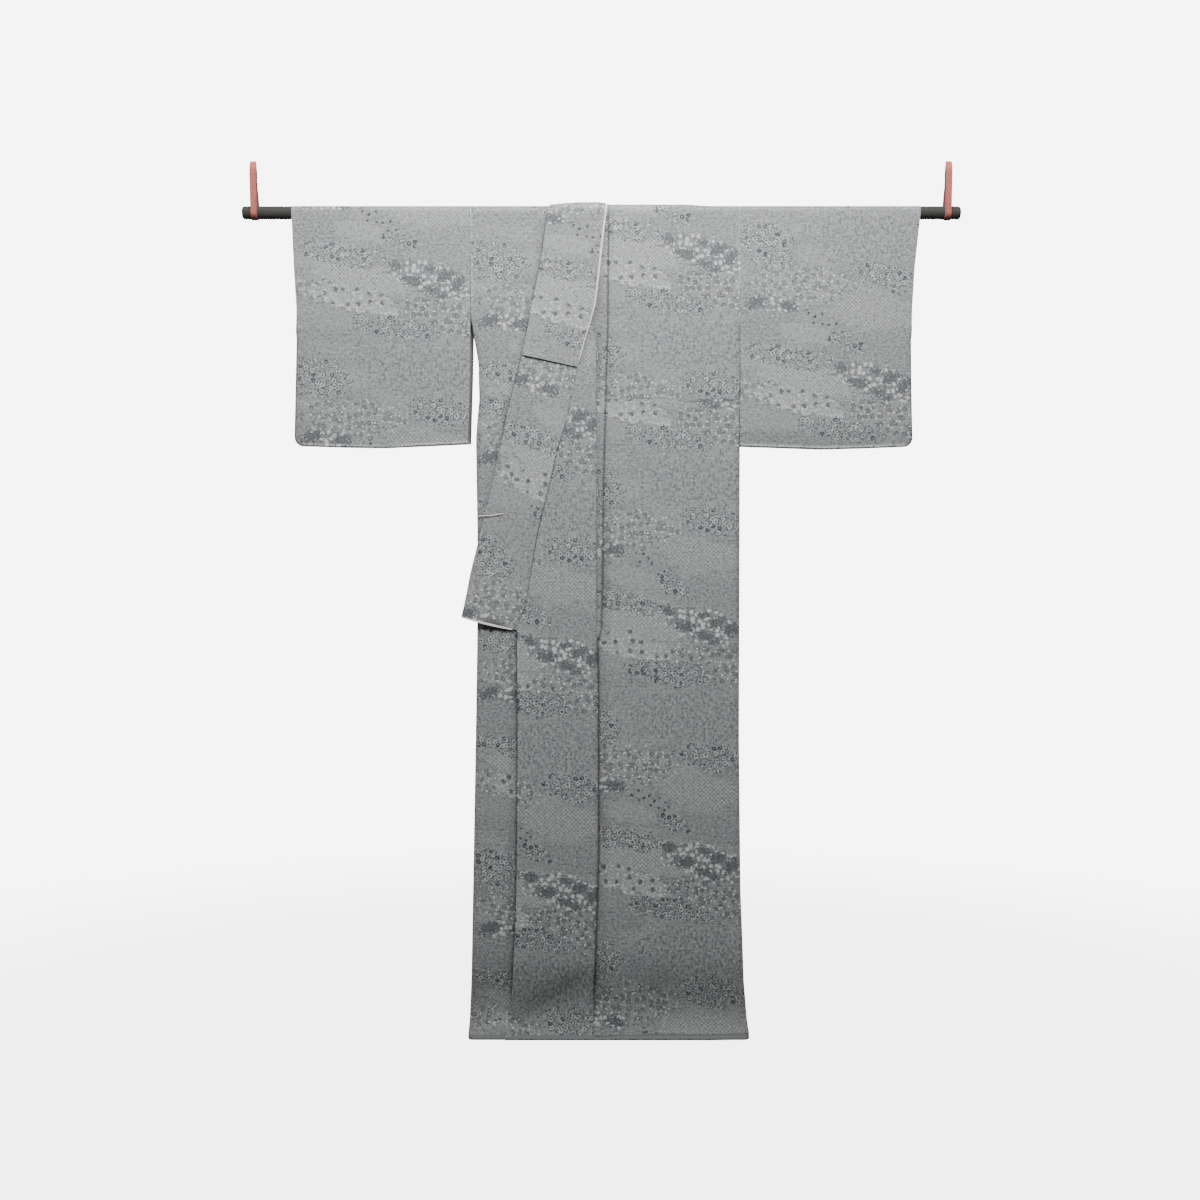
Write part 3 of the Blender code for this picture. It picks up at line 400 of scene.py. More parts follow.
# Stage
FLOOR_RADIUS = 2.6
FLOOR_HEIGHT = -1.622
ROOM_TINT = (1.0, 0.985, 0.93)
WHITE_WALL = 7.0  # brightness of the wall and floor as the camera sees them
LIGHTS = table(  # square soft lights, with their share of the key light's power
    "name place aim size share",
    ("key_light", (0.02, -1.35, 1.32), (0.0, 0.0, 0.05), 1.3, 1.0),
    ("fill_light", (-2.4, -2.0, -0.3), (0.0, 0.0, -0.8), 1.6, 0.03),
    ("back_light", (-0.4, 1.9, 1.0), (0.0, 0.0, -0.4), 1.5, 0.6),
)
CAMERA_PLACE = (-0.010, -3.014, -0.755)
CAMERA_SENSOR = 36.0
CAMERA_LENS = 46.36


def smooth(low, high, value):
    """0 at low, 1 at high, with an even slope at both. Low may be above high."""
    t = min(max((value - low) / (high - low), 0.0), 1.0)
    return t * t * (3.0 - 2.0 * t)


def fade(low, high, value):
    """1 at low, 0 at high, in the same way."""
    return 1.0 - smooth(low, high, value)


def at(rows, where, column):
    """A column's value where the first column has the given number."""
    rows = sorted(rows)
    if where <= rows[0][0]:
        return getattr(rows[0], column)
    for low, high in zip(rows, rows[1:]):
        if where <= high[0]:
            t = (where - low[0]) / (high[0] - low[0])
            return getattr(low, column) * (1.0 - t) + getattr(high, column) * t
    return getattr(rows[-1], column)


def finer(stations, step=CLOTH_STEP):
    """The stations, with more of them between two that are further apart than step."""
    out = [stations[0]]
    for a, b in zip(stations, stations[1:]):
        count = max(1, math.ceil(abs(b - a) / step - 0.001))
        out += [a + (b - a) * k / count for k in range(1, count + 1)]
    return out


def between(stations, row):
    """The middle of a row of faces."""
    return (stations[row] + stations[row + 1]) / 2


def spread(start, end, count):
    """Evenly spaced numbers after start, up to end."""
    return [start + (end - start) * k / count for k in range(1, count + 1)]


def height(s):
    """Height of a place on the path, and 0 on the rod."""
    return s if s < 0.0 else min(ARC - s, 0.0)


def place(x, s, lift, depth="body", flat=1.0):
    """A point on the path at a lift; flat is the share of the depth left at a rolled edge."""
    if 0.0 <= s <= ARC:
        turn = math.pi * s / ARC
        radius = ROD_RADIUS + ROD_CLEAR + lift
        return Vector((x, -radius * math.cos(turn) * flat, radius * math.sin(turn)))
    z = height(s)
    half = (at(DEPTHS, z, depth) + lift) * flat
    return Vector((x, -half if s < 0.0 else half, z))


def waves(ridges, x, z):
    """The lift of the broad soft ridges at a place."""
    total = 0.0
    for ridge in ridges:
        across = min(abs(x - ridge.x) / ridge.half_width, 1.0)
        along = min(abs(z - ridge.z) / ridge.half_length, 1.0)
        total += ridge.depth * fade(0.0, 1.0, across) * fade(0.0, 1.0, along)
    return total


def creases(lines, x, z):
    """The lift of the narrower troughs and ridges, each along its own line."""
    total = 0.0
    for crease in lines:
        dx, dz = crease.x1 - crease.x0, crease.z1 - crease.z0
        long = math.hypot(dx, dz)
        t = ((x - crease.x0) * dx + (z - crease.z0) * dz) / (long * long)
        if not 0.0 < t < 1.0:
            continue
        away = ((x - crease.x0) * dz - (z - crease.z0) * dx) / long
        ends = smooth(0.0, 0.3, t) * fade(0.7, 1.0, t)
        total += crease.depth * ends * math.exp(-((away / crease.width) ** 2))
    return total


def front_swell(x, z):
    """Everything soft on the front, the same in every layer of it."""
    return (waves(FRONT_WAVES, x, z) + creases(FRONT_CREASES, x, z)) * smooth(0.0, -0.1, z)


def back_swell(x, z):
    """The same for the back."""
    return waves(BACK_WAVES, x, z) + creases(BACK_CREASES, x, z)


def side_roll(z):
    """How far the front and back edges have turned in: 0 at the armhole, 1 at the side seam."""
    at_opening, at_seam = ROLL_SHARES
    return at_opening * smooth(ARMHOLE, ARMHOLE - 0.025, z) + at_seam * smooth(*OPENING_CLOSES, z)


def rolled(z, t, half):
    """Share of the depth that is left at t of the way across a side's turned edge."""
    edge = SIDE_SLIT / 2.0 / half
    left = 1.0 - (1.0 - edge) * side_roll(z)
    return left + (1.0 - left) * math.sqrt(max(1.0 - t * t, 0.0))


def over_front_lift(x, s):
    """Lift of the over front: it passes over the under front and its collar."""
    z = height(s)
    under = -at(UNDER_COLLAR, max(z, FREE_UNDER_END), "sewn") + COLLAR_WIDTH
    reach = under + COVER_REACH if z > FREE_UNDER_END - 0.03 else LOWER_COVER_REACH
    covered = fade(reach, reach + COVER_FADE, x)
    over_shoulder = fade(*SHOULDER_SINKS, s)
    lift = 2.0 * LAYER * covered * over_shoulder
    return lift if s >= 0.0 else lift + front_swell(x, z)


def pleat_lift(x, z):
    """The step at the pleat line and, below its end, at the overlap seam."""
    if z > PLEAT_END:
        line = at(PLEAT, z, "x")
        depth = PLEAT_STEP * smooth(0.0, -0.06, z) * (1.0 - 0.5 * smooth(-0.6, PLEAT_END, z))
    else:
        line = at(OVERLAP_LEFT, z, "seam")
        depth = PLEAT_STEP * 0.5
    if x <= line + 0.0004:
        return 0.0
    return depth * fade(line, line + PLEAT_FADE, x)


def collar_seam(side, s, join=COLLAR_SPLIT):
    """X of the seam between a front and its collar, up to the top of the rod."""
    over = side == "left"
    sewn = at(COLLAR_EDGES, s, "sewn") if over else -at(UNDER_COLLAR, s, "sewn")
    return sewn if s < 0.0 else sewn + (join - sewn) * smooth(0.0, APEX, s)


def line_strength(z):
    """How dark the painted shade of the pleat line and the overlap seam is at a height; it fades out near the
    hem.
    """
    return 1.0 - 0.85 * smooth(*LINE_ENDS, z)


def collar_seam_dark(z):
    """The same for the painted shade of the seam between the collar and the overlap panel."""
    lower = 1.0 - 0.65 * smooth(*COLLAR_SEAM_FADES, z)
    return SEAM_FAINT + (COLLAR_SEAM_DARK * lower - SEAM_FAINT) * smooth(*COLLAR_SEAM_STARTS, z)


def collar_end_height(x):
    """Height of the collar's slanted lower end above a place."""
    free, low = left_band(COLLAR_END, 0.0, COLLAR_JOIN)
    sewn, high = left_band(COLLAR_END, 1.0, COLLAR_JOIN)
    return low + (high - low) * (x - free) / (sewn - free)


def beside_on_right(x, z):
    """Distance of a place on the under front from the edge of what lies on it, which sets the painted shadow
    there.
    """
    if z > COLLAR_END + COLLAR_SLANTS[-1].rise:
        return at(COLLAR_EDGES, z, "free") - x + 0.004 * smooth(*COLLAR_SHADOW_NARROWS, z)
    panel = at(OVERLAP_LEFT, z, "free") - x
    return min(panel * 0.75, collar_end_height(x) - z + 0.003) + 0.02 * smooth(*PANEL_SHADOW_ENDS, z)


def beside_on_left(x, z):
    """Distance of a place on the over front from the over collar's sewn edge, which sets the painted shadow
    there.
    """
    if z < OVER_COLLAR_END:
        return FAR
    return max(x - at(COLLAR_EDGES, z, "sewn"), 0.0)


# ---------------------------------------------------------------- meshes


def clear_selection():
    if bpy.context.object and bpy.context.object.mode != "OBJECT":
        bpy.ops.object.mode_set(mode="OBJECT")
    bpy.ops.object.select_all(action="DESELECT")


def select_only(piece):
    clear_selection()
    piece.select_set(True)
    bpy.context.view_layer.objects.active = piece


def settle(piece):
    """Puts a piece's place into its mesh and leaves its object at the origin."""
    select_only(piece)
    bpy.ops.object.transform_apply(location=True, rotation=True, scale=True)


def soften(piece, finishes, degrees=35.0):
    """Gives a piece its finishes, applies its modifiers and shades it smooth."""
    piece.data.materials.clear()
    for finish in finishes:
        piece.data.materials.append(finish)
    select_only(piece)
    for modifier in list(piece.modifiers):
        bpy.ops.object.modifier_apply(modifier=modifier.name)
    bpy.ops.object.shade_smooth_by_angle(angle=math.radians(degrees))
    return piece


# A vertex: its place, its place on the repeat, its painted shade (below zero painted light) and how far from
# the edge on top, for the painted shadow there
Spot = namedtuple("Spot", "co across down crease beside", defaults=(FAR,))


def cloth(name, columns, rows, spot, finishes, gone=None, turned=False, wall=None, shift=None):
    """A thin cloth grid. spot gives the Spot at a column and row, and gone says which faces are
    left out. shift says how far the repeat jumps on a row of faces.
    """
    wall = wall or bpy.context.scene.kimono.cloth_thickness
    clear_selection()
    bpy.ops.mesh.primitive_grid_add(x_subdivisions=columns - 1, y_subdivisions=rows - 1, size=2.0)
    piece = bpy.context.object
    piece.name = name
    piece.data.name = name
    bm = bmesh.new()
    bm.from_mesh(piece.data)
    for layer in list(bm.loops.layers.uv):
        bm.loops.layers.uv.remove(layer)
    uv_layer = bm.loops.layers.uv.new(UV_NAME)
    crease_layer = bm.verts.layers.float.new(PAINTED_SHADING_NAME)
    beside_layer = bm.verts.layers.float.new(BESIDE_NAME)
    grid = {}
    for vertex in bm.verts:
        column = round((vertex.co.x + 1.0) / 2.0 * (columns - 1))
        row = round((vertex.co.y + 1.0) / 2.0 * (rows - 1))
        grid[vertex] = (column, row)
    corner = {
        face: (min(grid[v][0] for v in face.verts), min(grid[v][1] for v in face.verts))
        for face in bm.faces
    }
    if gone:
        out = [face for face in bm.faces if gone(*corner[face])]
        bmesh.ops.delete(bm, geom=out, context="FACES")
    made = {vertex: spot(*grid[vertex]) for vertex in bm.verts}
    for face in bm.faces:
        jump = shift(corner[face][1]) if shift else 0.0
        for loop in face.loops:
            here = made[loop.vert]
            loop[uv_layer].uv = (here.across, here.down + jump)
    for vertex, here in made.items():
        vertex.co = here.co
        vertex[crease_layer] = here.crease
        vertex[beside_layer] = here.beside
    bmesh.ops.remove_doubles(bm, verts=bm.verts[:], dist=0.00002)
    if turned:
        bmesh.ops.reverse_faces(bm, faces=bm.faces[:])
    bm.to_mesh(piece.data)
    bm.free()
    thickness = piece.modifiers.new("Wall", "SOLIDIFY")
    thickness.thickness = wall
    thickness.offset = 1.0
    thickness.use_even_offset = False
    thickness.material_offset = len(finishes) - 1
    return soften(piece, finishes)


def dress(piece, nodes, flat=None, with_pieces=()):
    """Puts a piece on its body and hides the model's solids that it stands for."""
    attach(piece, BODY)
    if nodes:
        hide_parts(*nodes)
    if flat:
        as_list(with_pieces)
    return piece


# ---------------------------------------------------------------- cloth pieces


def body_length(side, finishes):
    """A body length: front hem, over the rod, back hem, with the neck cut out of it."""
    over = side == "left"
    sign = 1.0 if over else -1.0
    stations = finer(FRONT_ROWS + ARC_ROWS + tuple(ARC - z for z in BACK_ROWS))
    neck_from = APEX if over else FRONT_ROWS[-1]
    neck_to = ARC - BACK_ROWS[0]
    cut = CUTS["body_" + side]

    def inner_columns(s):
        z = height(s)
        if s > APEX:
            inner, line = CENTRE_SEAM, BACK_LANE
        elif over:
            inner = collar_seam("left", s) if z > POINT else at(OVERLAP_LEFT, z, "seam")
            inner += SEAM / 2
            line = at(PLEAT, z, "x") if z > PLEAT_END else inner
            line = max(line, inner + LINE_FROM_SEAM)
        else:
            inner = at(UNDER_COLLAR, z, "sewn") if z > POINT else at(OVERLAP_RIGHT, z, "seam")
            inner += SEAM / 2
            line = inner + UNDER_LANE
        room = min(line - inner, PLEAT_SPREAD)
        far, near = PLEAT_VALLEY
        inside = [inner, line - room * far, line - room * near, line]
        outside = [line + PLEAT_SPREAD * near, line + PLEAT_SPREAD]
        return inside + outside + spread(outside[-1], LINE_LANE, 3) + spread(LINE_LANE, NECK, 5)

    def across(s):
        z = height(s)
        edge = at(SIDES, z, side) - CLOTH_ROOM * side_roll(z)
        roll = edge - SIDE_ROLL
        return inner_columns(s) + spread(NECK, roll, 12)[:-1] + [roll + SIDE_ROLL * t for t in ROLL_COLUMNS]

    def spot(column, row):
        s = stations[row]
        z = height(s)
        xs = across(s)
        x = xs[column]
        edge = xs[-1]
        roll = edge - SIDE_ROLL
        if over and s <= ARC + 0.03:
            lift = over_front_lift(x, s)
            if s < 0.0 and column > PLEAT_COLUMN:
                lift += pleat_lift(x, z)
        elif s < 0.0:
            lift = front_swell(-x, z)
        else:
            lift = 0.0
        if s > ARC:
            lift += back_swell(sign * x, z)
        lift *= 1.0 - smooth(roll - SIDE_CALM, edge, x) * (1.0 if z > SIDE_OPENING_END else 0.6)
        half = at(DEPTHS, z, "body") + lift
        co = place(x, s, lift, flat=rolled(z, max((x - roll) / SIDE_ROLL, 0.0), half))
        co.x *= sign
        if s < 0.0 and row == 0:
            co.z += hem_rise(co.x)
        beside = FAR
        if s < 0.0:
            beside = beside_on_left(co.x, z) if over else beside_on_right(co.x, z)
        return Spot(co, co.x + cut.across, -s + cut.down, painted_shading_at(column, s, z), beside)

    # Painted shade of the centre back seam, the pleat valley, the seams and the tuck's fold, painted light on
    # the turned side edge, and painted shade and light near the hem
    def painted_shading_at(column, s, z):
        if s > APEX:
            dark = CENTRE_DARK if column == 0 else 0.0
        elif not over:
            dark = 0.0
        elif z > PLEAT_END:
            away = column - PLEAT_COLUMN
            wider = smooth(*LINE_WIDENS, z) * (1.0 if away > 0 else PLEAT_WIDER_INSIDE)
            shades = [shade + more * wider for shade, more in PLEAT_SHADES]
            dark = shades[min(abs(away), 3)] * smooth(0.02, -0.02, z) * line_strength(z)
            dark = SEAM_FAINT if column == 0 else dark
        else:
            dark = SEAM_SHADES[min(max(column - PLEAT_COLUMN, 0), 3)] * line_strength(z)
        if column > last - PALE_COLUMNS:
            dark = BODY_EDGE_PALE
        dark += hem_shade(z)
        return max(dark, TUCK_DARK) if abs(z - TUCK) < 0.0001 else dark

    def gone(column, row):
        return column < NECK_COLUMNS and neck_from < between(stations, row) < neck_to

    def shift(row):
        return TUCK_SHIFT if TUCK < between(stations, row) < ARC - TUCK else 0.0

    columns = len(across(0.0))
    last = columns - 1
    return cloth(side + "_body_length", columns, len(stations), spot, finishes, gone, not over, shift=shift)


def hem_rise(x):
    """How much higher the silk ends at the front hem, so that more of the lining shows there."""
    return HEM_RISE * smooth(-0.05, 0.12, x) - HEM_DIP * fade(-0.19, -0.05, x)


def hem_shade(z):
    """Painted shade a hand above the hem, and painted light at it, as from the pale floor."""
    dark = smooth(*HEM_SHADE_STARTS, z) * fade(*HEM_SHADE_ENDS, z)
    return HEM_DARK * dark + HEM_PALE * smooth(*HEM_PALES, z)


def overlap_panel(side, finishes):
    """An overlap panel, from its point at the collar down to the hem."""
    over = side == "left"
    panel = OVERLAP_LEFT if over else OVERLAP_RIGHT
    sign = 1.0 if over else -1.0
    stations = finer(tuple(z for z in FRONT_ROWS if z <= POINT))
    cut = CUTS["overlap_" + side]

    def edges(z):
        seam = at(panel, z, "seam") - SEAM / 2
        if over and z >= COLLAR_END:
            return collar_seam("left", z) + SEAM / 2, seam
        if not over and z >= FREE_UNDER_END:
            return at(UNDER_COLLAR, z, "sewn") + SEAM / 2, seam
        return at(panel, z, "free"), seam

    def spot(column, row):
        z = stations[row]
        free, seam = edges(z)
        t = OVERLAP_COLUMNS[column]
        x = free + (seam - free) * t
        lift = over_front_lift(x, z) if over else front_swell(-x, z)
        if over and z < COLLAR_END:
            lift += PANEL_EDGE_PROUD * fade(0.0, 0.10, t) * fade(*PANEL_EDGE_LIFTS, z)
        co = place(x, z, lift)
        co.x *= sign
        if row == 0:
            co.z += hem_rise(co.x)
        # Painted shade of the overlap seam, the collar seam, the free edge below the collar and the fold near
        # the hem, and painted shade and light near the hem
        dark = 0.0
        if over and z < PLEAT_END:
            dark = PANEL_SEAM_SHADES.get(t, 0.0) * line_strength(z)
        elif over and t == 1.0:
            dark = SEAM_FAINT
        if over and t == 0.0:
            below = OVERLAP_EDGE_DARK * fade(*OVERLAP_EDGE_ENDS, z)
            dark = below if z < COLLAR_END else collar_seam_dark(z)
        if over:
            dark += creases(HEM_SHADOWS, co.x, z)
        dark += hem_shade(z)
        beside = beside_on_left(co.x, z) if over else beside_on_right(co.x, z)
        return Spot(co, co.x + cut.across, -z + cut.down, dark, beside)

    columns = len(OVERLAP_COLUMNS)
    return cloth(side + "_overlap_panel", columns, len(stations), spot, finishes, turned=not over)


def over_the_rod(s):
    """1 on top of the rod, falling to 0 a little way down the front and the back."""
    return smooth(*CROWN_STARTS, s) * fade(*BEHIND_SINKS, s)


def left_band_lift(s, across):
    """Lift of the collar on the over front's side, with the swell of the folded band."""
    lift = 2.0 * LAYER * fade(*BEHIND_SINKS, s)
    lift += at(COLLAR_CROWN, across, "lift") * over_the_rod(s)
    lift *= 1.0 - 0.4 * smooth(0.85, 1.0, across) * smooth(APEX, APEX * 1.2, s)
    swell = COLLAR_PUFF * (1.0 - (2.0 * across - 1.0) ** 6) * fade(-0.06, 0.0, s)
    return lift + swell


def collar_end_lift(across):
    """How far the collar's lower end stands off the cloth, most at its free edge."""
    return COLLAR_END_PROUD * fade(0.25, 1.0, across)


def left_band(s, across, join):
    """x and s of a place on the over front's collar, from its free edge to its sewn edge."""
    sewn = collar_seam("left", s, join) - SEAM / 2
    if s < 0.0:
        rise = at(COLLAR_SLANTS, s, "rise")
        free = at(COLLAR_EDGES, s + rise, "free")
        return free + (sewn - free) * across, s + rise * (1.0 - across)
    free = COLLAR_EDGES[0].free + COLLAR_TAPER * smooth(0.0, APEX, s)
    free += (-BACK_COLLAR - free) * smooth(*BACK_TURNS_IN, s)
    return free + (sewn - free) * across, s


def right_band(s, across, join):
    """x and s of a place on the under front's collar, from its sewn edge to its free edge."""
    sewn = collar_seam("right", s, join) + SEAM / 2
    if s < 0.0:
        rise = at(COLLAR_SLANTS, s, "rise")
        return sewn + COLLAR_WIDTH * across, s + rise * across
    free = -UNDER_COLLAR[0].sewn + COLLAR_WIDTH
    free += (BACK_COLLAR - free) * smooth(*BACK_TURNS_IN, s)
    return sewn + (free - sewn) * across, s


def band_stations(end):
    """The rows of a collar piece, from its lower end over the rod to behind the neck."""
    inside = tuple(z for z in FRONT_ROWS if z > end + 0.01)
    return finer((end, *inside, *ARC_ROWS, ARC - BACK_NECK * 0.5, ARC - BACK_NECK))


def in_neck_slit(stations, row):
    """Whether a row of faces belongs to the slit on top of the rod."""
    return NECK_SLIT_FROM < between(stations, row) < NECK_SLIT_TO


def main_collar(side, finishes):
    """Half of the main collar, from its lower end over the rod to the centre back."""
    over = side == "left"
    stations = band_stations(COLLAR_END if over else FREE_UNDER_END)
    cut = CUTS["collar"]

    def spot(column, row):
        across = BAND_COLUMNS[column]
        station = stations[row]
        x, s = (left_band if over else right_band)(station, across, COLLAR_JOIN)
        if over:
            free = left_band(station, 0.0, COLLAR_SPLIT)[0]
            shown = (x - free) / (left_band(station, 1.0, COLLAR_SPLIT)[0] - free)
            lift = left_band_lift(station, shown) - CROWN_CLEAR * over_the_rod(station)
            lift += collar_end_lift(across) * fade(*COLLAR_END_LIFTS, station)
            if station < 0.0:
                lift += front_swell(x, s) * 0.8
        else:
            lift = 0.0
        edge = across if over else 1.0 - across
        # painted shade along the over front collar's sewn edge
        dark = collar_seam_dark(station) if edge == 1.0 and over else 0.0
        return Spot(place(x, s, lift), edge * COLLAR_WIDTH + cut.across, -station + cut.down, dark)

    def gone(column, row):
        return not over and in_neck_slit(stations, row) and BAND_COLUMNS[column] < BAND_SLIT_ACROSS

    return cloth(side + "_collar", len(BAND_COLUMNS), len(stations), spot, finishes, gone)


def over_collar_band(finishes):
    """The band laid over the collar: two front ends that join behind the neck."""
    stations = band_stations(OVER_COLLAR_END)
    half = len(BAND_COLUMNS)
    cut = CUTS["over_collar"]

    def spot(column, row):
        station = stations[row]
        left = column < half
        across = BAND_COLUMNS[column % half]
        if left:
            x, s = left_band(station, across, COLLAR_SPLIT)
            end = fade(*OVER_COLLAR_END_LIFTS, station)
            lift = left_band_lift(station, across)
            lift += OVER_COLLAR_END_PROUD * end * (0.4 + 0.6 * (1.0 - across))
        else:
            x, s = right_band(station, across, COLLAR_SPLIT)
            lift = 0.0
        u = (across if left else 1.0 + across) * COLLAR_WIDTH + cut.across
        return Spot(place(x, s, lift + LAYER), u, -station + cut.down, 0.0)

    def gone(column, row):
        if column == half - 1:
            return between(stations, row) < NECK_SLIT_TO
        right = half <= column < 2 * half - 1
        return right and in_neck_slit(stations, row) and BAND_COLUMNS[column - half] < BAND_SLIT_ACROSS

    return cloth("over_collar_band", 2 * half, len(stations), spot, finishes, gone)


def sleeve(side, finishes):
    """A sleeve: one length folded over the rod, closed below the wrist and along the bottom."""
    sign = 1.0 if side == "left" else -1.0
    shares = finer(SLEEVE_SHARES, CLOTH_STEP / -SLEEVE_LOW)
    turns = ARC_TURNS[1:-1]
    share = (*shares, 0.0, *turns, 0.0, *reversed(shares))
    first_turn = len(shares) + 1
    first_back = first_turn + len(turns)
    low = SLEEVE_LOW + CLOTH_ROOM
    cut = CUTS["sleeve_" + side]

    def outer(z):
        closed = smooth(*SLEEVE_CLOSES, z)
        edge = at(SLEEVES, z, side + "_out") - CLOTH_ROOM * closed
        near = max(SLEEVE_CORNER - (z - low), 0.0)
        return edge - SLEEVE_CORNER + math.sqrt(max(SLEEVE_CORNER**2 - near**2, 0.0))

    def spot(column, row):
        on_rod = first_turn <= row < first_back
        z0 = 0.0 if on_rod else max(share[row] * SLEEVE_LOW, low)
        inner = at(SLEEVES, z0, side + "_in")
        if not on_rod:
            reach = SLEEVE_REACH[side][row >= first_back]
            inner -= reach * smooth(ARMHOLE + 0.005, ARMHOLE - 0.03, z0)
        edge = outer(z0)
        roll = edge - SLEEVE_ROLL
        if column < SLEEVE_COLUMNS:
            t = 0.0
            x = inner + (roll - inner) * max(column - SLIT_SHARE, 0.0) / (SLEEVE_COLUMNS - SLIT_SHARE)
        else:
            t = ROLL_COLUMNS[column - SLEEVE_COLUMNS]
            x = roll + SLEEVE_ROLL * t
        across = (x - inner) / (edge - inner)
        z = z0 * (at(SLEEVE_BOTTOMS, across, side) / SLEEVE_LOW) if z0 < 0.0 else z0
        closed = smooth(*SLEEVE_CLOSES, z0)
        flat = 1.0 - closed + closed * math.sqrt(max(1.0 - t * t, 0.0))
        up = (z0 - low) / BOTTOM_ROLL
        if up < 1.0:
            flat *= math.sqrt(max(1.0 - (1.0 - up) ** 2, 0.0))
        if on_rod:
            s = ARC * share[row]
            co = place(x, s, 0.0)
        else:
            s = z if row < first_turn else ARC - z
            swell = creases(SLEEVE_CREASES, x, z) * smooth(0.0, -0.08, z)
            co = place(x, s, swell, depth="sleeve", flat=flat)
        co.x *= sign
        return Spot(co, co.x + cut.across, -s + cut.down, edge_painted_shading(column, row, up, z0))

    def edge_painted_shading(column, row, up, z0):
        """Painted shade and painted light: a thin dark line just inside the fold, with the fold itself a
        little paler, painted light on the bottom fold, and painted shade in the slit and above the left
        sleeve's lower fold.
        """
        from_edge = column - SLEEVE_COLUMNS
        if column <= 1 and row >= first_back:
            return SLIT_INSIDE_DARK * smooth(ARMHOLE, ARMHOLE - 0.02, z0)
        if column == 0 and side == "left":
            return SLIT_DARK * smooth(*SLEEVE_SLIT_STARTS, z0) * fade(*SLEEVE_SLIT_ENDS, z0)
        for height_share, pale in BOTTOM_PALES:
            if up < height_share:
                return pale
        if from_edge > 4:
            return EDGE_PALE
        if from_edge == 3:
            return EDGE_DARK
        if side == "left" and row < first_turn:
            return LEFT_BOTTOM_DARK * smooth(*SLEEVE_BOTTOM_DARKENS, z0)
        return 0.0

    count = SLEEVE_COLUMNS + len(ROLL_COLUMNS)
    return cloth(side + "_sleeve", count, len(share), spot, finishes, turned=side == "right")


def hem_roll(side, deep, finishes):
    """The lining rolled out below the hem: across the front, round the side, across the back."""
    over = side == "left"
    sign = 1.0 if over else -1.0
    top = HEM + 0.004
    edge = at(SIDES, HEM, side) - LAYER - SIDE_ROLL
    free = at(OVERLAP_LEFT if over else OVERLAP_RIGHT, HEM, "free")
    path = [("front", free + (edge - free) * k / 36) for k in range(36)]
    path += [("turn", math.pi * k / 12) for k in range(13)]
    path += [("back", edge + (CENTRE_SEAM - edge) * k / 24) for k in range(1, 25)]

    def lift_at(x, s):
        if s > 0.0:
            return back_swell(sign * x, HEM)
        return over_front_lift(x, s) if over else front_swell(-x, HEM)

    def spot(column, row):
        kind, value = path[column]
        drop, bulge = HEM_SECTION[row]
        z = top - (deep + top - HEM) * drop
        if kind == "turn":
            front = lift_at(edge, HEM) * fade(0.0, math.pi, value)
            half = at(DEPTHS, z, "body") + front + bulge
            x = edge + (SIDE_ROLL + bulge) * math.sin(value)
            co = Vector((x, -half * math.cos(value), z))
            along = edge + SIDE_ROLL * value
        else:
            s = z if kind == "front" else ARC - z
            co = place(value, s, lift_at(value, HEM if kind == "front" else ARC) + bulge)
            along = value
        co.x *= sign
        # the top two rows, just under the silk's hem, get painted shade
        return Spot(co, along, -z, 0.25 if row < 2 else 0.0)

    name = side + "_hem_roll"
    return cloth(name, len(path), len(HEM_SECTION), spot, finishes, turned=over, wall=HEM_WALL)


def collar_seam_edge(finishes):
    """The white lining that shows along the over collar's sewn edge."""
    stations = finer(tuple(z for z in band_stations(OVER_COLLAR_END) if z < APEX))

    def spot(column, row):
        s = stations[row]
        t, rise = WHITE_EDGE_PROFILE[column]
        wide = WHITE_EDGE_WIDTH * (0.55 + 0.45 * smooth(OVER_COLLAR_END, -0.05, s))
        wide *= smooth(*WHITE_EDGE_STARTS, s)
        x = collar_seam("left", s) + wide * t
        lift = 2.0 * LAYER + front_swell(x, s) if s < 0.0 else over_front_lift(max(x, 0.0), s)
        return Spot(place(x, s, lift + LAYER * (0.6 + 0.7 * rise)), x, -s, 0.0)

    columns = len(WHITE_EDGE_PROFILE)
    return cloth("over_collar_white_edge", columns, len(stations), spot, finishes, wall=WHITE_EDGE_WALL)


def collar_end_edge(finishes):
    """The white lining that shows below the collar's lower end."""
    columns, rows = 17, 4

    def spot(column, row):
        t = column / (columns - 1)
        across = t * 0.93
        x, s = left_band(COLLAR_END, across, COLLAR_JOIN)
        wide = END_EDGE_LEAST + END_EDGE_MORE * math.sin(math.pi * (0.08 + 0.88 * t)) ** 0.6
        lift = left_band_lift(COLLAR_END, across) + collar_end_lift(across)
        lift += front_swell(x, s) * 0.8 + 0.0009 - 0.0003 * (row == 0)
        return Spot(place(x, s + 0.0006 - wide * row / (rows - 1), lift), x, -s, 0.0)

    return cloth("collar_end_white_edge", columns, rows, spot, finishes, wall=WHITE_EDGE_WALL)


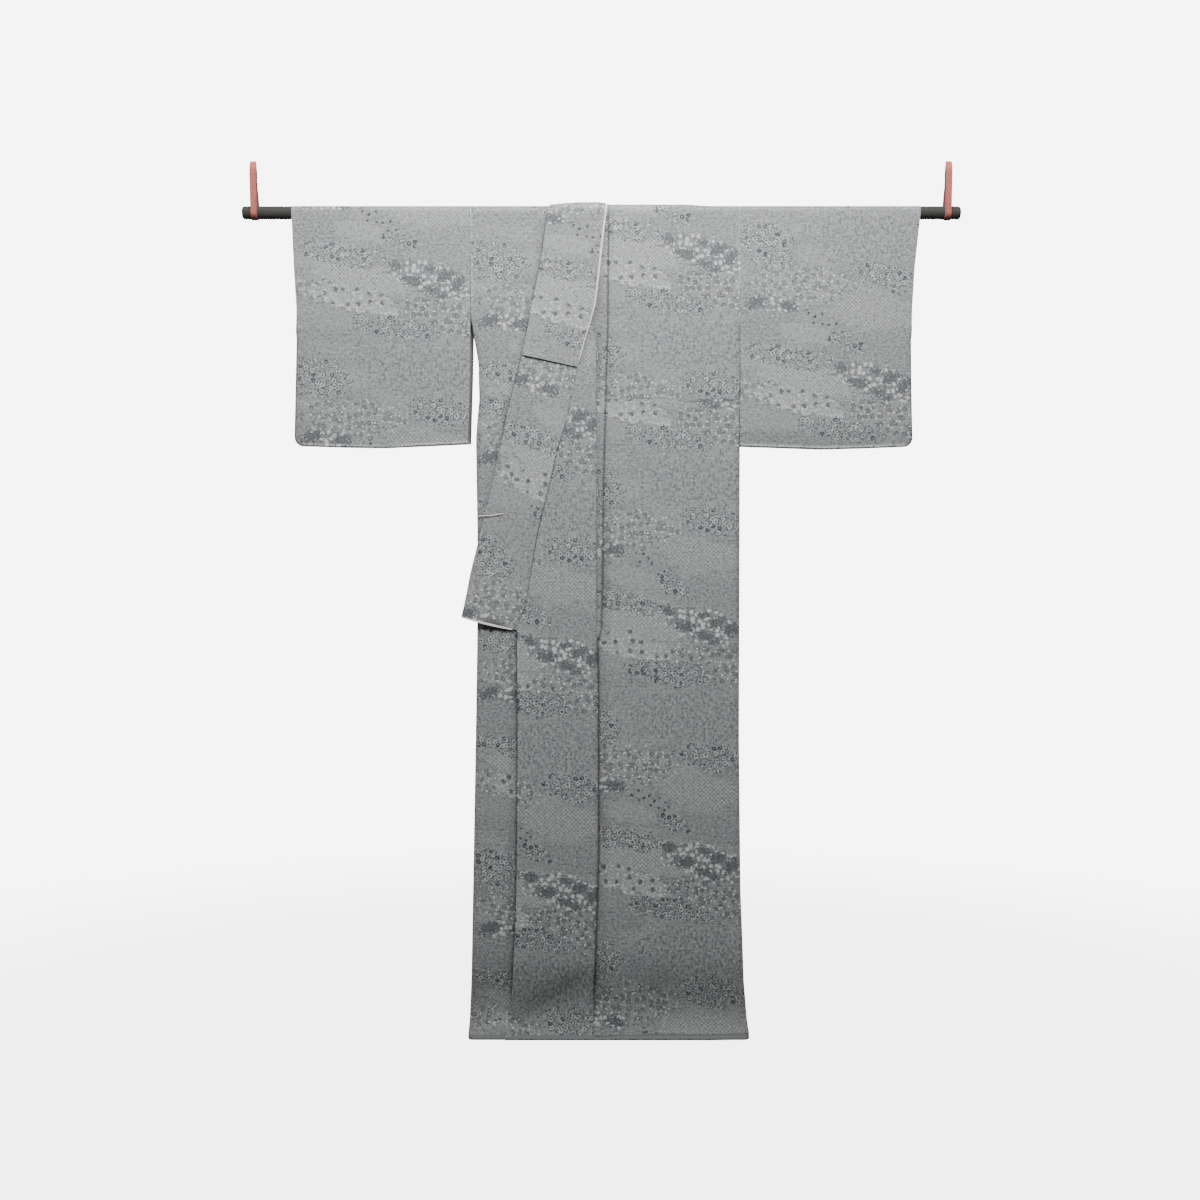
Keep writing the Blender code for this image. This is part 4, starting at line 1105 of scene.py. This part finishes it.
def tacking_thread(finish):
    """A loose white thread caught across the collar's free edge."""
    ends = [Vector(end) for end in THREAD_ENDS]
    on_collar = left_band_lift(THREAD_HEIGHT, 0.3) + THREAD_PROUD
    free = at(COLLAR_EDGES, THREAD_HEIGHT, "free")
    clear_selection()
    bpy.ops.mesh.primitive_cylinder_add(vertices=8, radius=THREAD_RADIUS, depth=1.0, end_fill_type="NGON")
    piece = bpy.context.object
    piece.name = "tacking_thread"
    bm = bmesh.new()
    bm.from_mesh(piece.data)
    cuts = [edge for edge in bm.edges if abs(edge.verts[0].co.z - edge.verts[1].co.z) > 0.5]
    bmesh.ops.subdivide_edges(bm, edges=cuts, cuts=THREAD_STEPS - 1)
    for vertex in bm.verts:
        t = vertex.co.z + 0.5
        core = ends[0].lerp(ends[1], t)
        lift = on_collar - THREAD_DROP * smooth(free + 0.002, free - 0.010, core.x)
        core.z -= THREAD_SAG * math.sin(math.pi * t) - THREAD_WAVE * math.sin(3.0 * math.pi * t)
        core.y = place(core.x, core.z, lift).y
        vertex.co = core + Vector((0.0, vertex.co.x, vertex.co.y))
    bm.normal_update()
    bmesh.ops.recalc_face_normals(bm, faces=bm.faces[:])
    bm.to_mesh(piece.data)
    bm.free()
    return soften(piece, [finish], 60.0)


# ---------------------------------------------------------------- rod and straps


def lacquered_rod(finish):
    """A round rod along X with rounded ends."""
    clear_selection()
    bpy.ops.mesh.primitive_cylinder_add(
        vertices=ROD_SIDES, radius=ROD_RADIUS, depth=ROD_ENDS[1] - ROD_ENDS[0],
        location=(sum(ROD_ENDS) / 2, 0.0, 0.0), rotation=(0.0, math.pi / 2, 0.0),
    )
    piece = bpy.context.object
    piece.name = "lacquered_rod"
    settle(piece)
    bpy.ops.object.mode_set(mode="EDIT")
    bpy.ops.mesh.select_all(action="DESELECT")
    bpy.ops.object.mode_set(mode="OBJECT")
    for edge in piece.data.edges:
        a, b = (piece.data.vertices[i].co for i in edge.vertices)
        edge.select = abs(a.x - b.x) < 0.001
    bpy.ops.object.mode_set(mode="EDIT")
    bpy.ops.mesh.select_mode(type="EDGE")
    bpy.ops.mesh.bevel(offset=ROD_EDGE, segments=8, profile=0.5)
    bpy.ops.object.mode_set(mode="OBJECT")
    return soften(piece, [finish], 30.0)


def strap(side, middle, finish):
    """A flat woven strap that goes round the rod and over the rack's rail."""
    low = ROD_RADIUS + ROD_CLEAR
    high = RAIL_RADIUS + ROD_CLEAR
    slope = math.asin((high - low) / RAIL_HEIGHT)

    def arc(radius, up, start, sweep):
        angles = [start + sweep * step / STRAP_ARC_STEPS for step in range(STRAP_ARC_STEPS + 1)]
        return [(radius * math.cos(angle), up + radius * math.sin(angle)) for angle in angles]

    def run(start, end):
        pairs = [spread(a, b, STRAP_RUN_STEPS)[:-1] for a, b in zip(start, end)]
        return list(zip(*pairs))

    under = arc(low, 0.0, math.pi + slope, math.pi - 2.0 * slope)
    above = arc(high, RAIL_HEIGHT, -slope, math.pi + 2.0 * slope)
    path = under + run(under[-1], above[0]) + above + run(above[-1], under[0]) + under[:1]

    def spot(column, row):
        y, z = path[row]
        t = column / (STRAP_COLUMNS - 1)
        rear = smooth(-high, high, y)
        lean = math.copysign(STRAP_LEAN, middle) * rear * smooth(0.0, RAIL_HEIGHT, z)
        x = middle + STRAP_WIDTH * (t - 0.5) + lean
        # painted shade: darker towards the edges and on the rear run
        dark = STRAP_EDGE_DARK * abs(2.0 * t - 1.0) ** 4 + STRAP_REAR_DARK * rear
        return Spot(Vector((x, y, z)), STRAP_WIDTH * t, 0.004 * row, dark)

    return cloth(side + "_strap", STRAP_COLUMNS, len(path), spot, [finish], turned=True, wall=STRAP_WALL)


# ---------------------------------------------------------------- materials


class Value:
    """A number, colour or place that a shader node gives. Sums with it add Math nodes."""

    def __init__(self, socket):
        self.socket = socket

    def __add__(self, other):
        return calc("ADD", self, other)

    def __sub__(self, other):
        return calc("SUBTRACT", self, other)

    def __rsub__(self, other):
        return calc("SUBTRACT", other, self)

    def __mul__(self, other):
        return calc("MULTIPLY", self, other)

    def __truediv__(self, other):
        return calc("DIVIDE", self, other)


def feed(socket, value):
    """Links a socket to a value, or sets it to a number or a colour."""
    if isinstance(value, Value):
        socket.id_data.links.new(value.socket, socket)
    else:
        socket.default_value = value


def add(tree, kind, inputs=None, **settings):
    """Adds a shader node, sets it and feeds its sockets."""
    made = tree.nodes.new("ShaderNode" + kind)
    for name, value in settings.items():
        setattr(made, name, value)
    for name, value in (inputs or {}).items():
        feed(made.inputs[name], value)
    return made


def linked(kind, inputs, **settings):
    """A node added to the tree that its inputs come from."""
    tree = next(value.socket.id_data for value in inputs.values() if isinstance(value, Value))
    return add(tree, kind, inputs, **settings)


def result(kind, inputs, output=0, **settings):
    """The same, where only one of its outputs is used."""
    return Value(linked(kind, inputs, **settings).outputs[output])


def calc(operation, *values):
    """A sum of numbers."""
    return result("Math", dict(enumerate(values)), operation=operation)


def ramp(value, low, high):
    """0 at low, 1 at high, smoothly; low may be above high."""
    inputs = {"Value": value, "From Min": low, "From Max": high}
    return result("MapRange", inputs, interpolation_type="SMOOTHSTEP")


def mix(factor, a, b):
    return result("Mix", {0: factor, 2: a, 3: b}, data_type="FLOAT")


def mix_colours(factor, a, b, how="MIX"):
    return result("Mix", {0: factor, 6: a, 7: b}, 2, data_type="RGBA", blend_type=how)


def place_calc(operation, *values, output=0):
    """A sum of places."""
    return result("VectorMath", dict(enumerate(values)), output, operation=operation)


def parts_of(where):
    """The coordinates of a place."""
    return [Value(socket) for socket in linked("SeparateXYZ", {"Vector": where}).outputs]


def noise(where, scale, detail=2.0, roughness=0.5, dimensions="3D"):
    """Noise at a scale, or at one scale across and another down."""
    if isinstance(scale, tuple):
        where, scale = result("Mapping", {"Vector": where, "Scale": (*scale, 1.0)}), 1.0
    inputs = {"Vector": where, "Scale": scale, "Detail": detail, "Roughness": roughness}
    return result("TexNoise", inputs, noise_dimensions=dimensions)


def cloth_noise(where, scale, detail=1.0, roughness=0.5):
    """The same, flat on the cloth."""
    return noise(where, scale, detail, roughness, "2D")


def cells(where, spacing, randomness):
    """The outputs of a texture of cells that are spacing apart."""
    inputs = {"Vector": where, "Scale": 1.0 / spacing, "Randomness": randomness}
    made = linked("TexVoronoi", inputs, voronoi_dimensions="2D", feature="F1")
    return {socket.name: Value(socket) for socket in made.outputs}


def dots(where, spacing, radius, randomness):
    """1 in round dots of a radius, set spacing apart."""
    edge = radius / spacing
    return ramp(cells(where, spacing, randomness)["Distance"], edge * 1.25, edge * 0.7)


def blossom_radius(where, middle, radius):
    """Distance from the middle of a five-petalled blossom, 1 at its edge."""
    local = place_calc("SUBTRACT", where, middle)
    x, y, _ = parts_of(local)
    petal = calc("ABSOLUTE", calc("COSINE", calc("ARCTAN2", y, x) * (PETALS / 2)))
    return place_calc("LENGTH", local, output="Value") / (petal * (0.28 * radius) + 0.78 * radius)


def attribute(tree, name):
    """A number that the points of the cloth carry."""
    return Value(add(tree, "Attribute", attribute_name=name).outputs["Fac"])


def crease_shade(tree, depth):
    """Painted shade: grey that darkens a colour in the creases, seams and slits and beside the edge of the
    cloth on top, and lightens it as painted light where the points' value is below zero.
    """
    away = attribute(tree, BESIDE_NAME)
    shadow = ramp(away, 0.0052, 0.0002) * 0.37 + ramp(away, 0.0190, 0.0) * 0.27
    grey = (1.0 - attribute(tree, PAINTED_SHADING_NAME) * depth) * (1.0 - shadow)
    return result("CombineColor", {0: grey, 1: grey, 2: grey})


def patch_group(settings):
    """A node group: how far inside a leaning oval of the repeat a place is."""
    group = bpy.data.node_groups.new("cloud_patch", "ShaderNodeTree")
    names = ("Across", "Down", "Wander", "Middle Across", "Middle Down", "Half Width", "Half Height", "Lean")
    for name in names:
        group.interface.new_socket(name, in_out="INPUT", socket_type="NodeSocketFloat")
    for name in ("Inside", "Rim"):
        group.interface.new_socket(name, in_out="OUTPUT", socket_type="NodeSocketFloat")
    start = group.nodes.new("NodeGroupInput").outputs
    end = group.nodes.new("NodeGroupOutput").inputs
    across, down, wander, middle_across, middle_down, half_width, half_height, lean = (
        Value(start[name]) for name in names
    )
    wide, tall = settings.repeat_width / 2, settings.repeat_height / 2
    across = calc("WRAP", across - middle_across, wide, -wide)
    down = calc("WRAP", down - middle_down - across * lean, tall, -tall)
    x, y = across / half_width, down / half_height
    powers = [calc("POWER", calc("ABSOLUTE", value), OVAL_POWER) for value in (x, y)]
    away = calc("POWER", powers[0] + powers[1], OVAL_ROOT) + wander
    feed(end["Inside"], ramp(away, 1.05, 0.92))
    feed(end["Rim"], ramp(away, 0.72, 0.92) * ramp(y, 0.0, 0.5))
    return group


def patch(group, *values):
    """The mask of one patch, and of its rim."""
    made = linked("Group", dict(enumerate(values)), node_tree=group)
    return [Value(socket) for socket in made.outputs]


def drawn(uv, fineness, reach):
    """The place on the cloth, moved a little here and there, so that a figure looks drawn by hand."""
    inputs = {"Vector": uv, "Scale": fineness, "Detail": 1.0}
    turn = result("TexNoise", inputs, "Color", noise_dimensions="2D")
    centred = place_calc("SUBTRACT", turn, (0.5, 0.5, 0.5))
    return place_calc("MULTIPLY_ADD", centred, (reach, reach, 0.0), uv)


def fillings(uv, u, v):
    """The small figures that fill the patches, each as a change of shade."""
    hand = drawn(uv, 190.0, 0.0052)
    flower_cell = cells(hand, 0.0124, 0.90)
    flower = blossom_radius(hand, flower_cell["Position"], 0.0046)
    ring = ramp(flower, 1.10, 0.94) * ramp(flower, 0.45, 0.70)
    outline = ramp(flower, 1.45, 1.25) * ramp(flower, 0.98, 1.14)
    heart = ramp(flower, 0.5, 0.25)
    specks = dots(hand, 0.0064, 0.0015, 1.0) * -0.40 * (1.0 - ring)
    pale = outline * -0.42 + (ring * 0.36 + heart * -0.34) + specks
    dark = (ramp(flower, 1.15, 0.9) - heart * 0.8) * -0.70 + 0.08
    chance = result("SeparateColor", {"Color": flower_cell["Color"]})
    black = calc("GREATER_THAN", chance, BLACK_BLOSSOMS_FROM)
    stone_away = cells(place_calc("ADD", hand, (0.31, 0.17, 0.0)), 0.0145, 0.8)["Distance"]
    stone = ramp(stone_away, 0.38, 0.26)
    stone = stone * ramp(stone_away, 0.18, 0.30) * -0.26 + stone * -0.18
    slants = [calc("PINGPONG", slant, 0.0040) for slant in (u + v, u - v)]
    square = ramp(calc("MINIMUM", *slants), 0.0006, 0.0022)
    grain = dots(hand, 0.0060, 0.0019, 0.95)
    crest = ramp(calc("PINGPONG", v + cloth_noise(uv, 160.0) * 0.010, 0.0036), 0.0020, 0.0034)
    broken = ramp(cloth_noise(uv, (60.0, 150.0)), 0.40, 0.60)
    return {
        "blossoms": mix(black, pale, dark) - 0.02,
        "beads": dots(hand, 0.0232, 0.0046, 0.55) * -0.50 + (dots(hand, 0.0085, 0.0017, 0.95) * 0.36 - 0.05),
        "pearls": dots(hand, 0.0118, 0.0014, 0.9) * 1.75 + (stone + 0.03),
        "lattice": square * 0.26 - 0.12,
        "grain": grain * -0.14 + 0.03,
        "sprigs": ramp(cloth_noise(hand, (210.0, 110.0)), 0.42, 0.58) * -0.22 + 0.10,
        "seeds": dots(hand, 0.0150, 0.0026, 0.9) * -0.66,
        "ripples": crest * broken * -0.24 + 0.04,
        "plain": grain * -0.05 + 0.02,
        "bunches": dots(hand, 0.0118, 0.0042, 0.7) * 0.60 - 0.14,
    }


def colour_of(values):
    return (*values, 1.0)


def new_material(name, **constants):
    """A material whose constants are set on the shader itself, and its tree and shader's sockets."""
    made = bpy.data.materials.new(name)
    made.use_nodes = True
    sockets = made.node_tree.nodes["Principled BSDF"].inputs
    for socket, value in constants.items():
        sockets[socket.replace("_", " ")].default_value = value
    return made, made.node_tree, sockets


def surface(sockets, colour, relief, strength, depth):
    """Gives a shader its colour and its relief."""
    feed(sockets["Base Color"], colour)
    feed(sockets["Normal"], result("Bump", {"Height": relief, "Strength": strength, "Distance": depth}))


def place_on_cloth(tree):
    return Value(add(tree, "UVMap", uv_map=UV_NAME).outputs[0])


def place_on_object(tree):
    return Value(add(tree, "TexCoord").outputs["Object"])


def silk_finish(name, settings):
    """Crepe silk with its dyed figure: clouds that lean down to the right, filled with small motifs."""
    material, tree, sockets = new_material(
        name, Roughness=0.62, Sheen_Weight=0.22, Sheen_Roughness=0.45, Sheen_Tint=(0.86, 0.9, 1.0, 1.0),
        Specular_IOR_Level=0.35,
    )
    uv = place_on_cloth(tree)
    u, v, _ = parts_of(uv)
    wander = (cloth_noise(uv, (45.0, 90.0), 2.0) - 0.5) * 1.25
    group = patch_group(settings)
    fills = fillings(uv, u, v)
    broad = cloth_noise(uv, (9.0, 22.0), 2.0)
    shade = mix(ramp(broad, 0.46, 0.54), fills["grain"], fills["ripples"]) + (broad * 0.24 - 0.12)
    for item in CHART:
        inside, rim = patch(group, u, v, wander, *item[:5])
        filled = fills[item.filling] + item.tone
        if item.rim:
            filled = rim * item.rim + filled
        shade = mix(inside, shade, filled)
    ragged = (cloth_noise(uv, 210.0) - 0.5) * 2.2
    for leaf in LEAVES:
        shade = mix(patch(group, u, v, ragged, *leaf)[0], shade, LEAF_SHADE)
    slub = cloth_noise(uv, (60.0, 900.0), 2.0) - 0.5
    thread = cloth_noise(uv, (190.0, 230.0), 3.0, 0.65) - 0.5
    shade = shade + (slub * 0.30 + thread)
    dyes = linked("ValToRGB", {"Fac": shade * 0.5 + 0.5})
    stops = dyes.color_ramp.elements
    for position, dye in DYES:
        stops.new(position).color = colour_of(getattr(settings, dye))
    stops.remove(stops[0])
    stops.remove(stops[-1])
    tinted = mix_colours(cloth_noise(uv, 55.0) * 0.16, Value(dyes.outputs[0]), SILK_TINT)
    # painted shade and painted light from the cloth's points
    colour = mix_colours(1.0, tinted, crease_shade(tree, 0.72), "MULTIPLY")
    surface(sockets, colour, slub * 0.5 + thread, 0.35, 0.0005)
    return material


def lining_finish(name, upper, lower):
    """Plain-weave lining, one colour above the knee and another below it."""
    material, tree, sockets = new_material(
        name, Roughness=0.55, Sheen_Weight=0.25, Sheen_Roughness=0.4, Specular_IOR_Level=0.4
    )
    uv = place_on_cloth(tree)
    z = parts_of(place_on_object(tree))[2]
    colour = mix_colours(ramp(z, *LINING_CHANGE), colour_of(upper), colour_of(lower))
    weave = cloth_noise(uv, (1500.0, 120.0)) + cloth_noise(uv, (120.0, 1500.0))
    soft = mix_colours(weave * 0.22, colour, (0.02, 0.022, 0.028, 1.0))
    # painted shade and painted light from the cloth's points
    colour = mix_colours(1.0, soft, crease_shade(tree, 0.7), "MULTIPLY")
    surface(sockets, colour, weave, 0.3, 0.0003)
    return material


def lacquer_finish(name, settings):
    """Black urushi lacquer: deep, glossy, with a trace of dust and polish marks."""
    material, tree, sockets = new_material(
        name, Specular_IOR_Level=0.4, Coat_Weight=0.45, Coat_Roughness=0.06
    )
    where = place_on_object(tree)
    dust = ramp(noise(where, 320.0, 4.0, 0.7), 0.62, 0.80) * 0.16
    polish = noise(where, (6.0, 160.0), 3.0)
    colour = mix_colours(dust, colour_of(settings.lacquer_colour), (0.20, 0.19, 0.18, 1.0))
    feed(sockets["Roughness"], polish * 0.14 + 0.10 + dust)
    surface(sockets, colour, polish, 0.08, 0.0004)
    return material


def tape_finish(name, settings):
    """Ribbed woven tape in dusty red, darkened with painted shade on its edges and its rear run."""
    material, tree, sockets = new_material(name, Roughness=0.78, Sheen_Weight=0.3, Specular_IOR_Level=0.3)
    uv = place_on_cloth(tree)
    u, v, _ = parts_of(uv)
    weave = calc("PINGPONG", u, 0.0007) / 0.0007 * 0.6 + calc("PINGPONG", v, 0.0006) / 0.0006 * 0.4
    shade = weave * 0.35 + cloth_noise(uv, 260.0, 3.0, 0.6) * 0.4
    colour = mix_colours(shade, (0.16, 0.028, 0.030, 1.0), colour_of(settings.strap_colour))
    colour = mix_colours(attribute(tree, PAINTED_SHADING_NAME), colour, (0.10, 0.018, 0.02, 1.0))
    surface(sockets, colour, weave, 0.6, 0.0004)
    return material


def thread_finish(name):
    """White cotton thread, twisted."""
    material, tree, sockets = new_material(name, Roughness=0.7, Sheen_Weight=0.3)
    x, _, z = parts_of(place_on_object(tree))
    twist = calc("PINGPONG", x + z * 1.4, 0.0006) / 0.0006
    feed(sockets["Base Color"], mix_colours(twist, (0.55, 0.54, 0.52, 1.0), (0.86, 0.85, 0.83, 1.0)))
    return material


def floor_finish(name, settings):
    """Pale matt floor that fades out at its edge, and is as white as the wall to the camera."""
    material, tree, sockets = new_material(name, Roughness=0.85, Emission_Color=(1.0, 1.0, 1.0, 1.0))
    where = place_on_object(tree)
    grain = noise(where, 3.0, 3.0) * 0.06
    feed(sockets["Base Color"], mix_colours(grain, colour_of(settings.floor_colour), (0.7, 0.7, 0.7, 1.0)))
    x, y, _ = parts_of(where)
    away = place_calc("LENGTH", result("CombineXYZ", {"X": x, "Y": y}), output="Value")
    feed(sockets["Emission Strength"], seen_by_camera(tree) * (WHITE_WALL * 0.7))
    feed(sockets["Alpha"], ramp(away, FLOOR_RADIUS, FLOOR_RADIUS * 0.45))
    return material


def seen_by_camera(tree):
    return Value(add(tree, "LightPath").outputs["Is Camera Ray"])


def shared(name, make, *values):
    """A finish, made once and then shared."""
    return bpy.data.materials.get(name) or make(name, *values)


def inside_lining(settings):
    return shared("inside_lining", lining_finish, settings.white_colour, settings.lining_colour)


def white_lining(settings):
    return shared("white_lining", lining_finish, settings.trim_colour, settings.trim_colour)


def lined_silk(settings):
    """The finishes of a lined piece, outside and inside."""
    return [shared("figured_silk", silk_finish, settings), inside_lining(settings)]


# ---------------------------------------------------------------- stage


def lay_floor(finish):
    """A round floor below the hem, which isn't part of the kimono."""
    clear_selection()
    bpy.ops.mesh.primitive_circle_add(
        vertices=96, radius=FLOOR_RADIUS, fill_type="NGON", location=(0.0, 0.0, FLOOR_HEIGHT)
    )
    floor = bpy.context.object
    floor.name = "pale_floor"
    settle(floor)
    floor.data.materials.append(finish)


def soft_light(light, power):
    """A square soft light that points at a place."""
    bpy.ops.object.light_add(type="AREA", location=light.place)
    lamp = bpy.context.object
    lamp.name = light.name
    lamp.data.size = light.size
    lamp.data.energy = power * light.share
    lamp.rotation_euler = (Vector(light.aim) - Vector(light.place)).to_track_quat("-Z", "Y").to_euler()


def soft_room(settings):
    """Even, slightly warm light all round, with a white wall to the camera."""
    world = bpy.data.worlds.new("soft_room")
    world.use_nodes = True
    seen = seen_by_camera(world.node_tree)
    tint = {channel: mix(seen, shade, 1.0) for channel, shade in enumerate(ROOM_TINT)}
    sockets = world.node_tree.nodes["Background"].inputs
    feed(sockets["Color"], result("CombineColor", tint))
    feed(sockets["Strength"], mix(seen, settings.room_light, WHITE_WALL))
    return world


def front_camera():
    """A camera straight in front, which sees the whole kimono and its straps."""
    bpy.ops.object.camera_add(location=CAMERA_PLACE, rotation=(math.pi / 2, 0.0, 0.0))
    camera = bpy.context.object
    camera.name = "front_camera"
    camera.data.sensor_width = CAMERA_SENSOR
    camera.data.lens = CAMERA_LENS
    return camera


# ---------------------------------------------------------------- operators


def size_setting(name, description, default, least, most):
    """A size in metres that can be changed."""
    return FloatProperty(
        name=name, description=description, default=default, min=least, max=most, unit="LENGTH"
    )


def colour_setting(name, description, *default):
    """A colour that can be changed, with its red, green and blue."""
    return FloatVectorProperty(
        name=name, description=description, default=default, min=0.0, max=1.0, subtype="COLOR"
    )


class KimonoSettings(bpy.types.PropertyGroup):
    """Sizes and colours of the kimono that can be changed before it is built."""

    cloth_thickness: size_setting(
        "Cloth thickness", "Thickness of a piece of lined silk", 0.0008, 0.0003, 0.0012
    )
    hem_roll: size_setting("Hem roll", "How far the rolled lining shows below the hem", 0.0082, 0.003, 0.012)
    repeat_width: size_setting("Repeat width", "Width of one repeat of the dyed figure", 0.355, 0.1, 0.5)
    repeat_height: size_setting("Repeat height", "Height of one repeat of the dyed figure", 0.458, 0.2, 0.8)
    ground_colour: colour_setting("Ground", "Middle grey of the silk", 0.236, 0.241, 0.243)
    pale_colour: colour_setting("Pale", "Pale clouds of the figure", 0.345, 0.352, 0.353)
    white_colour: colour_setting("White", "White dots, and the lining above the knee", 0.66, 0.67, 0.67)
    dark_colour: colour_setting("Dark", "Dark leaves and rings of the figure", 0.112, 0.116, 0.120)
    ink_colour: colour_setting("Ink", "Near-black blossoms of the figure", 0.022, 0.025, 0.032)
    lining_colour: colour_setting("Hem lining", "Blue-grey lining of the hem", 0.300, 0.311, 0.318)
    trim_colour: colour_setting("White lining", "White lining that shows at the collar", 0.93, 0.93, 0.91)
    lacquer_colour: colour_setting("Lacquer", "Black lacquer of the rod", 0.060, 0.061, 0.056)
    strap_colour: colour_setting("Straps", "Dusty red of the straps", 0.94, 0.26, 0.205)
    floor_colour: colour_setting("Floor", "Pale floor", 0.09, 0.09, 0.09)
    key_light: FloatProperty(
        name="Key light", description="Power of the large soft light above the front",
        default=127.5, min=0.0, max=500.0, unit="POWER",
    )
    room_light: FloatProperty(
        name="Room light", description="Strength of the even light all round",
        default=0.035, min=0.0, max=5.0,
    )


class Step:
    """What every step of the build shares."""

    bl_options = {"REGISTER", "UNDO"}


class KIMONO_OT_rod(Step, bpy.types.Operator):
    """Build the lacquered rod"""

    bl_idname = "kimono.rod"
    bl_label = "Rod"

    def execute(self, context):
        finish = shared("black_lacquer", lacquer_finish, context.scene.kimono)
        dress(lacquered_rod(finish), ["hanging_rod"])
        return {"FINISHED"}


class KIMONO_OT_straps(Step, bpy.types.Operator):
    """Build the two straps that hold the rod"""

    bl_idname = "kimono.straps"
    bl_label = "Straps"

    def execute(self, context):
        finish = shared("red_tape", tape_finish, context.scene.kimono)
        for side, middle in STRAP_MIDDLES.items():
            made = strap(side, middle, finish)
            dress(made, ["loop_" + side], flat=(STRAP_WIDTH, 0.265))
        return {"FINISHED"}


class KIMONO_OT_body(Step, bpy.types.Operator):
    """Build the two body lengths, from front hem over the shoulder to back hem"""

    bl_idname = "kimono.body"
    bl_label = "Body lengths"

    def execute(self, context):
        for side in ("left", "right"):
            made = body_length(side, lined_silk(context.scene.kimono))
            dress(made, ["body_" + side], flat=(0.283, 3.243))
        return {"FINISHED"}


class KIMONO_OT_overlaps(Step, bpy.types.Operator):
    """Build the two overlap panels"""

    bl_idname = "kimono.overlaps"
    bl_label = "Overlap panels"

    def execute(self, context):
        for side, area in (("left", 0.170), ("right", 0.165)):
            made = overlap_panel(side, lined_silk(context.scene.kimono))
            dress(made, ["okumi_" + side], flat=(0.175, 1.40))
        return {"FINISHED"}


class KIMONO_OT_collar(Step, bpy.types.Operator):
    """Build the two halves of the main collar"""

    bl_idname = "kimono.collar"
    bl_label = "Main collar"

    def execute(self, context):
        settings = context.scene.kimono
        edge = dress(collar_end_edge([white_lining(settings)]), ())
        for side, pieces in (("left", [edge]), ("right", ())):
            made = main_collar(side, lined_silk(settings))
            held = ["lacquered_rod", side + "_body_length"]
            dress(made, ["collar_" + side], flat=(0.110, 0.885), with_pieces=pieces)
        return {"FINISHED"}


class KIMONO_OT_over_collar(Step, bpy.types.Operator):
    """Build the over collar, with the white edge along its seam"""

    bl_idname = "kimono.over_collar"
    bl_label = "Over collar"

    def execute(self, context):
        settings = context.scene.kimono
        edge = dress(collar_seam_edge([white_lining(settings)]), ())
        made = over_collar_band(lined_silk(settings))
        dress(made, ["over_collar"], flat=(0.214, 0.372), with_pieces=[edge])
        return {"FINISHED"}


class KIMONO_OT_sleeves(Step, bpy.types.Operator):
    """Build the two sleeves"""

    bl_idname = "kimono.sleeves"
    bl_label = "Sleeves"

    def execute(self, context):
        for side in ("left", "right"):
            made = sleeve(side, lined_silk(context.scene.kimono))
            dress(made, ["sleeve_" + side], flat=(0.335, 0.947))
        return {"FINISHED"}


class KIMONO_OT_hem(Step, bpy.types.Operator):
    """Build the lining rolled out below the hem"""

    bl_idname = "kimono.hem"
    bl_label = "Hem roll"

    def execute(self, context):
        settings = context.scene.kimono
        for side, long in (("left", 0.75), ("right", 0.68)):
            made = hem_roll(side, settings.hem_roll, [inside_lining(settings)])
            dress(made, ["hem_lining_" + side], flat=(0.0165, long))
        return {"FINISHED"}


class KIMONO_OT_thread(Step, bpy.types.Operator):
    """Build the loose tacking thread on the collar"""

    bl_idname = "kimono.thread"
    bl_label = "Tacking thread"

    def execute(self, context):
        dress(tacking_thread(shared("white_thread", thread_finish)), ())
        return {"FINISHED"}


class KIMONO_OT_stage(Step, bpy.types.Operator):
    """Build the floor, the lights and the camera"""

    bl_idname = "kimono.stage"
    bl_label = "Stage"

    def execute(self, context):
        settings = context.scene.kimono
        lay_floor(shared("pale_floor", floor_finish, settings))
        for light in LIGHTS:
            soft_light(light, settings.key_light)
        context.scene.world = soft_room(settings)
        context.scene.camera = front_camera()
        return {"FINISHED"}


class KIMONO_PT_sidebar(bpy.types.Panel):
    """The kimono's sizes, colours and pieces"""

    bl_idname = "KIMONO_PT_sidebar"
    bl_label = "Silk kimono"
    bl_space_type = "VIEW_3D"
    bl_region_type = "UI"
    bl_category = "Kimono"

    def draw(self, context):
        for name in KimonoSettings.__annotations__:
            self.layout.prop(context.scene.kimono, name)
        for operator in OPERATORS:
            self.layout.operator(operator.bl_idname)


OPERATORS = (
    KIMONO_OT_rod, KIMONO_OT_straps, KIMONO_OT_body, KIMONO_OT_overlaps, KIMONO_OT_collar,
    KIMONO_OT_over_collar, KIMONO_OT_sleeves, KIMONO_OT_hem, KIMONO_OT_thread, KIMONO_OT_stage,
)
CLASSES = (KimonoSettings, *OPERATORS, KIMONO_PT_sidebar)


def register():
    for item in CLASSES:
        bpy.utils.register_class(item)
    bpy.types.Scene.kimono = PointerProperty(type=KimonoSettings)


def unregister():
    del bpy.types.Scene.kimono
    for item in reversed(CLASSES):
        bpy.utils.unregister_class(item)


def main():
    register()
    for operator in OPERATORS:
        group, name = operator.bl_idname.split(".")
        getattr(getattr(bpy.ops, group), name)()


if __name__ == "__main__":
    main()
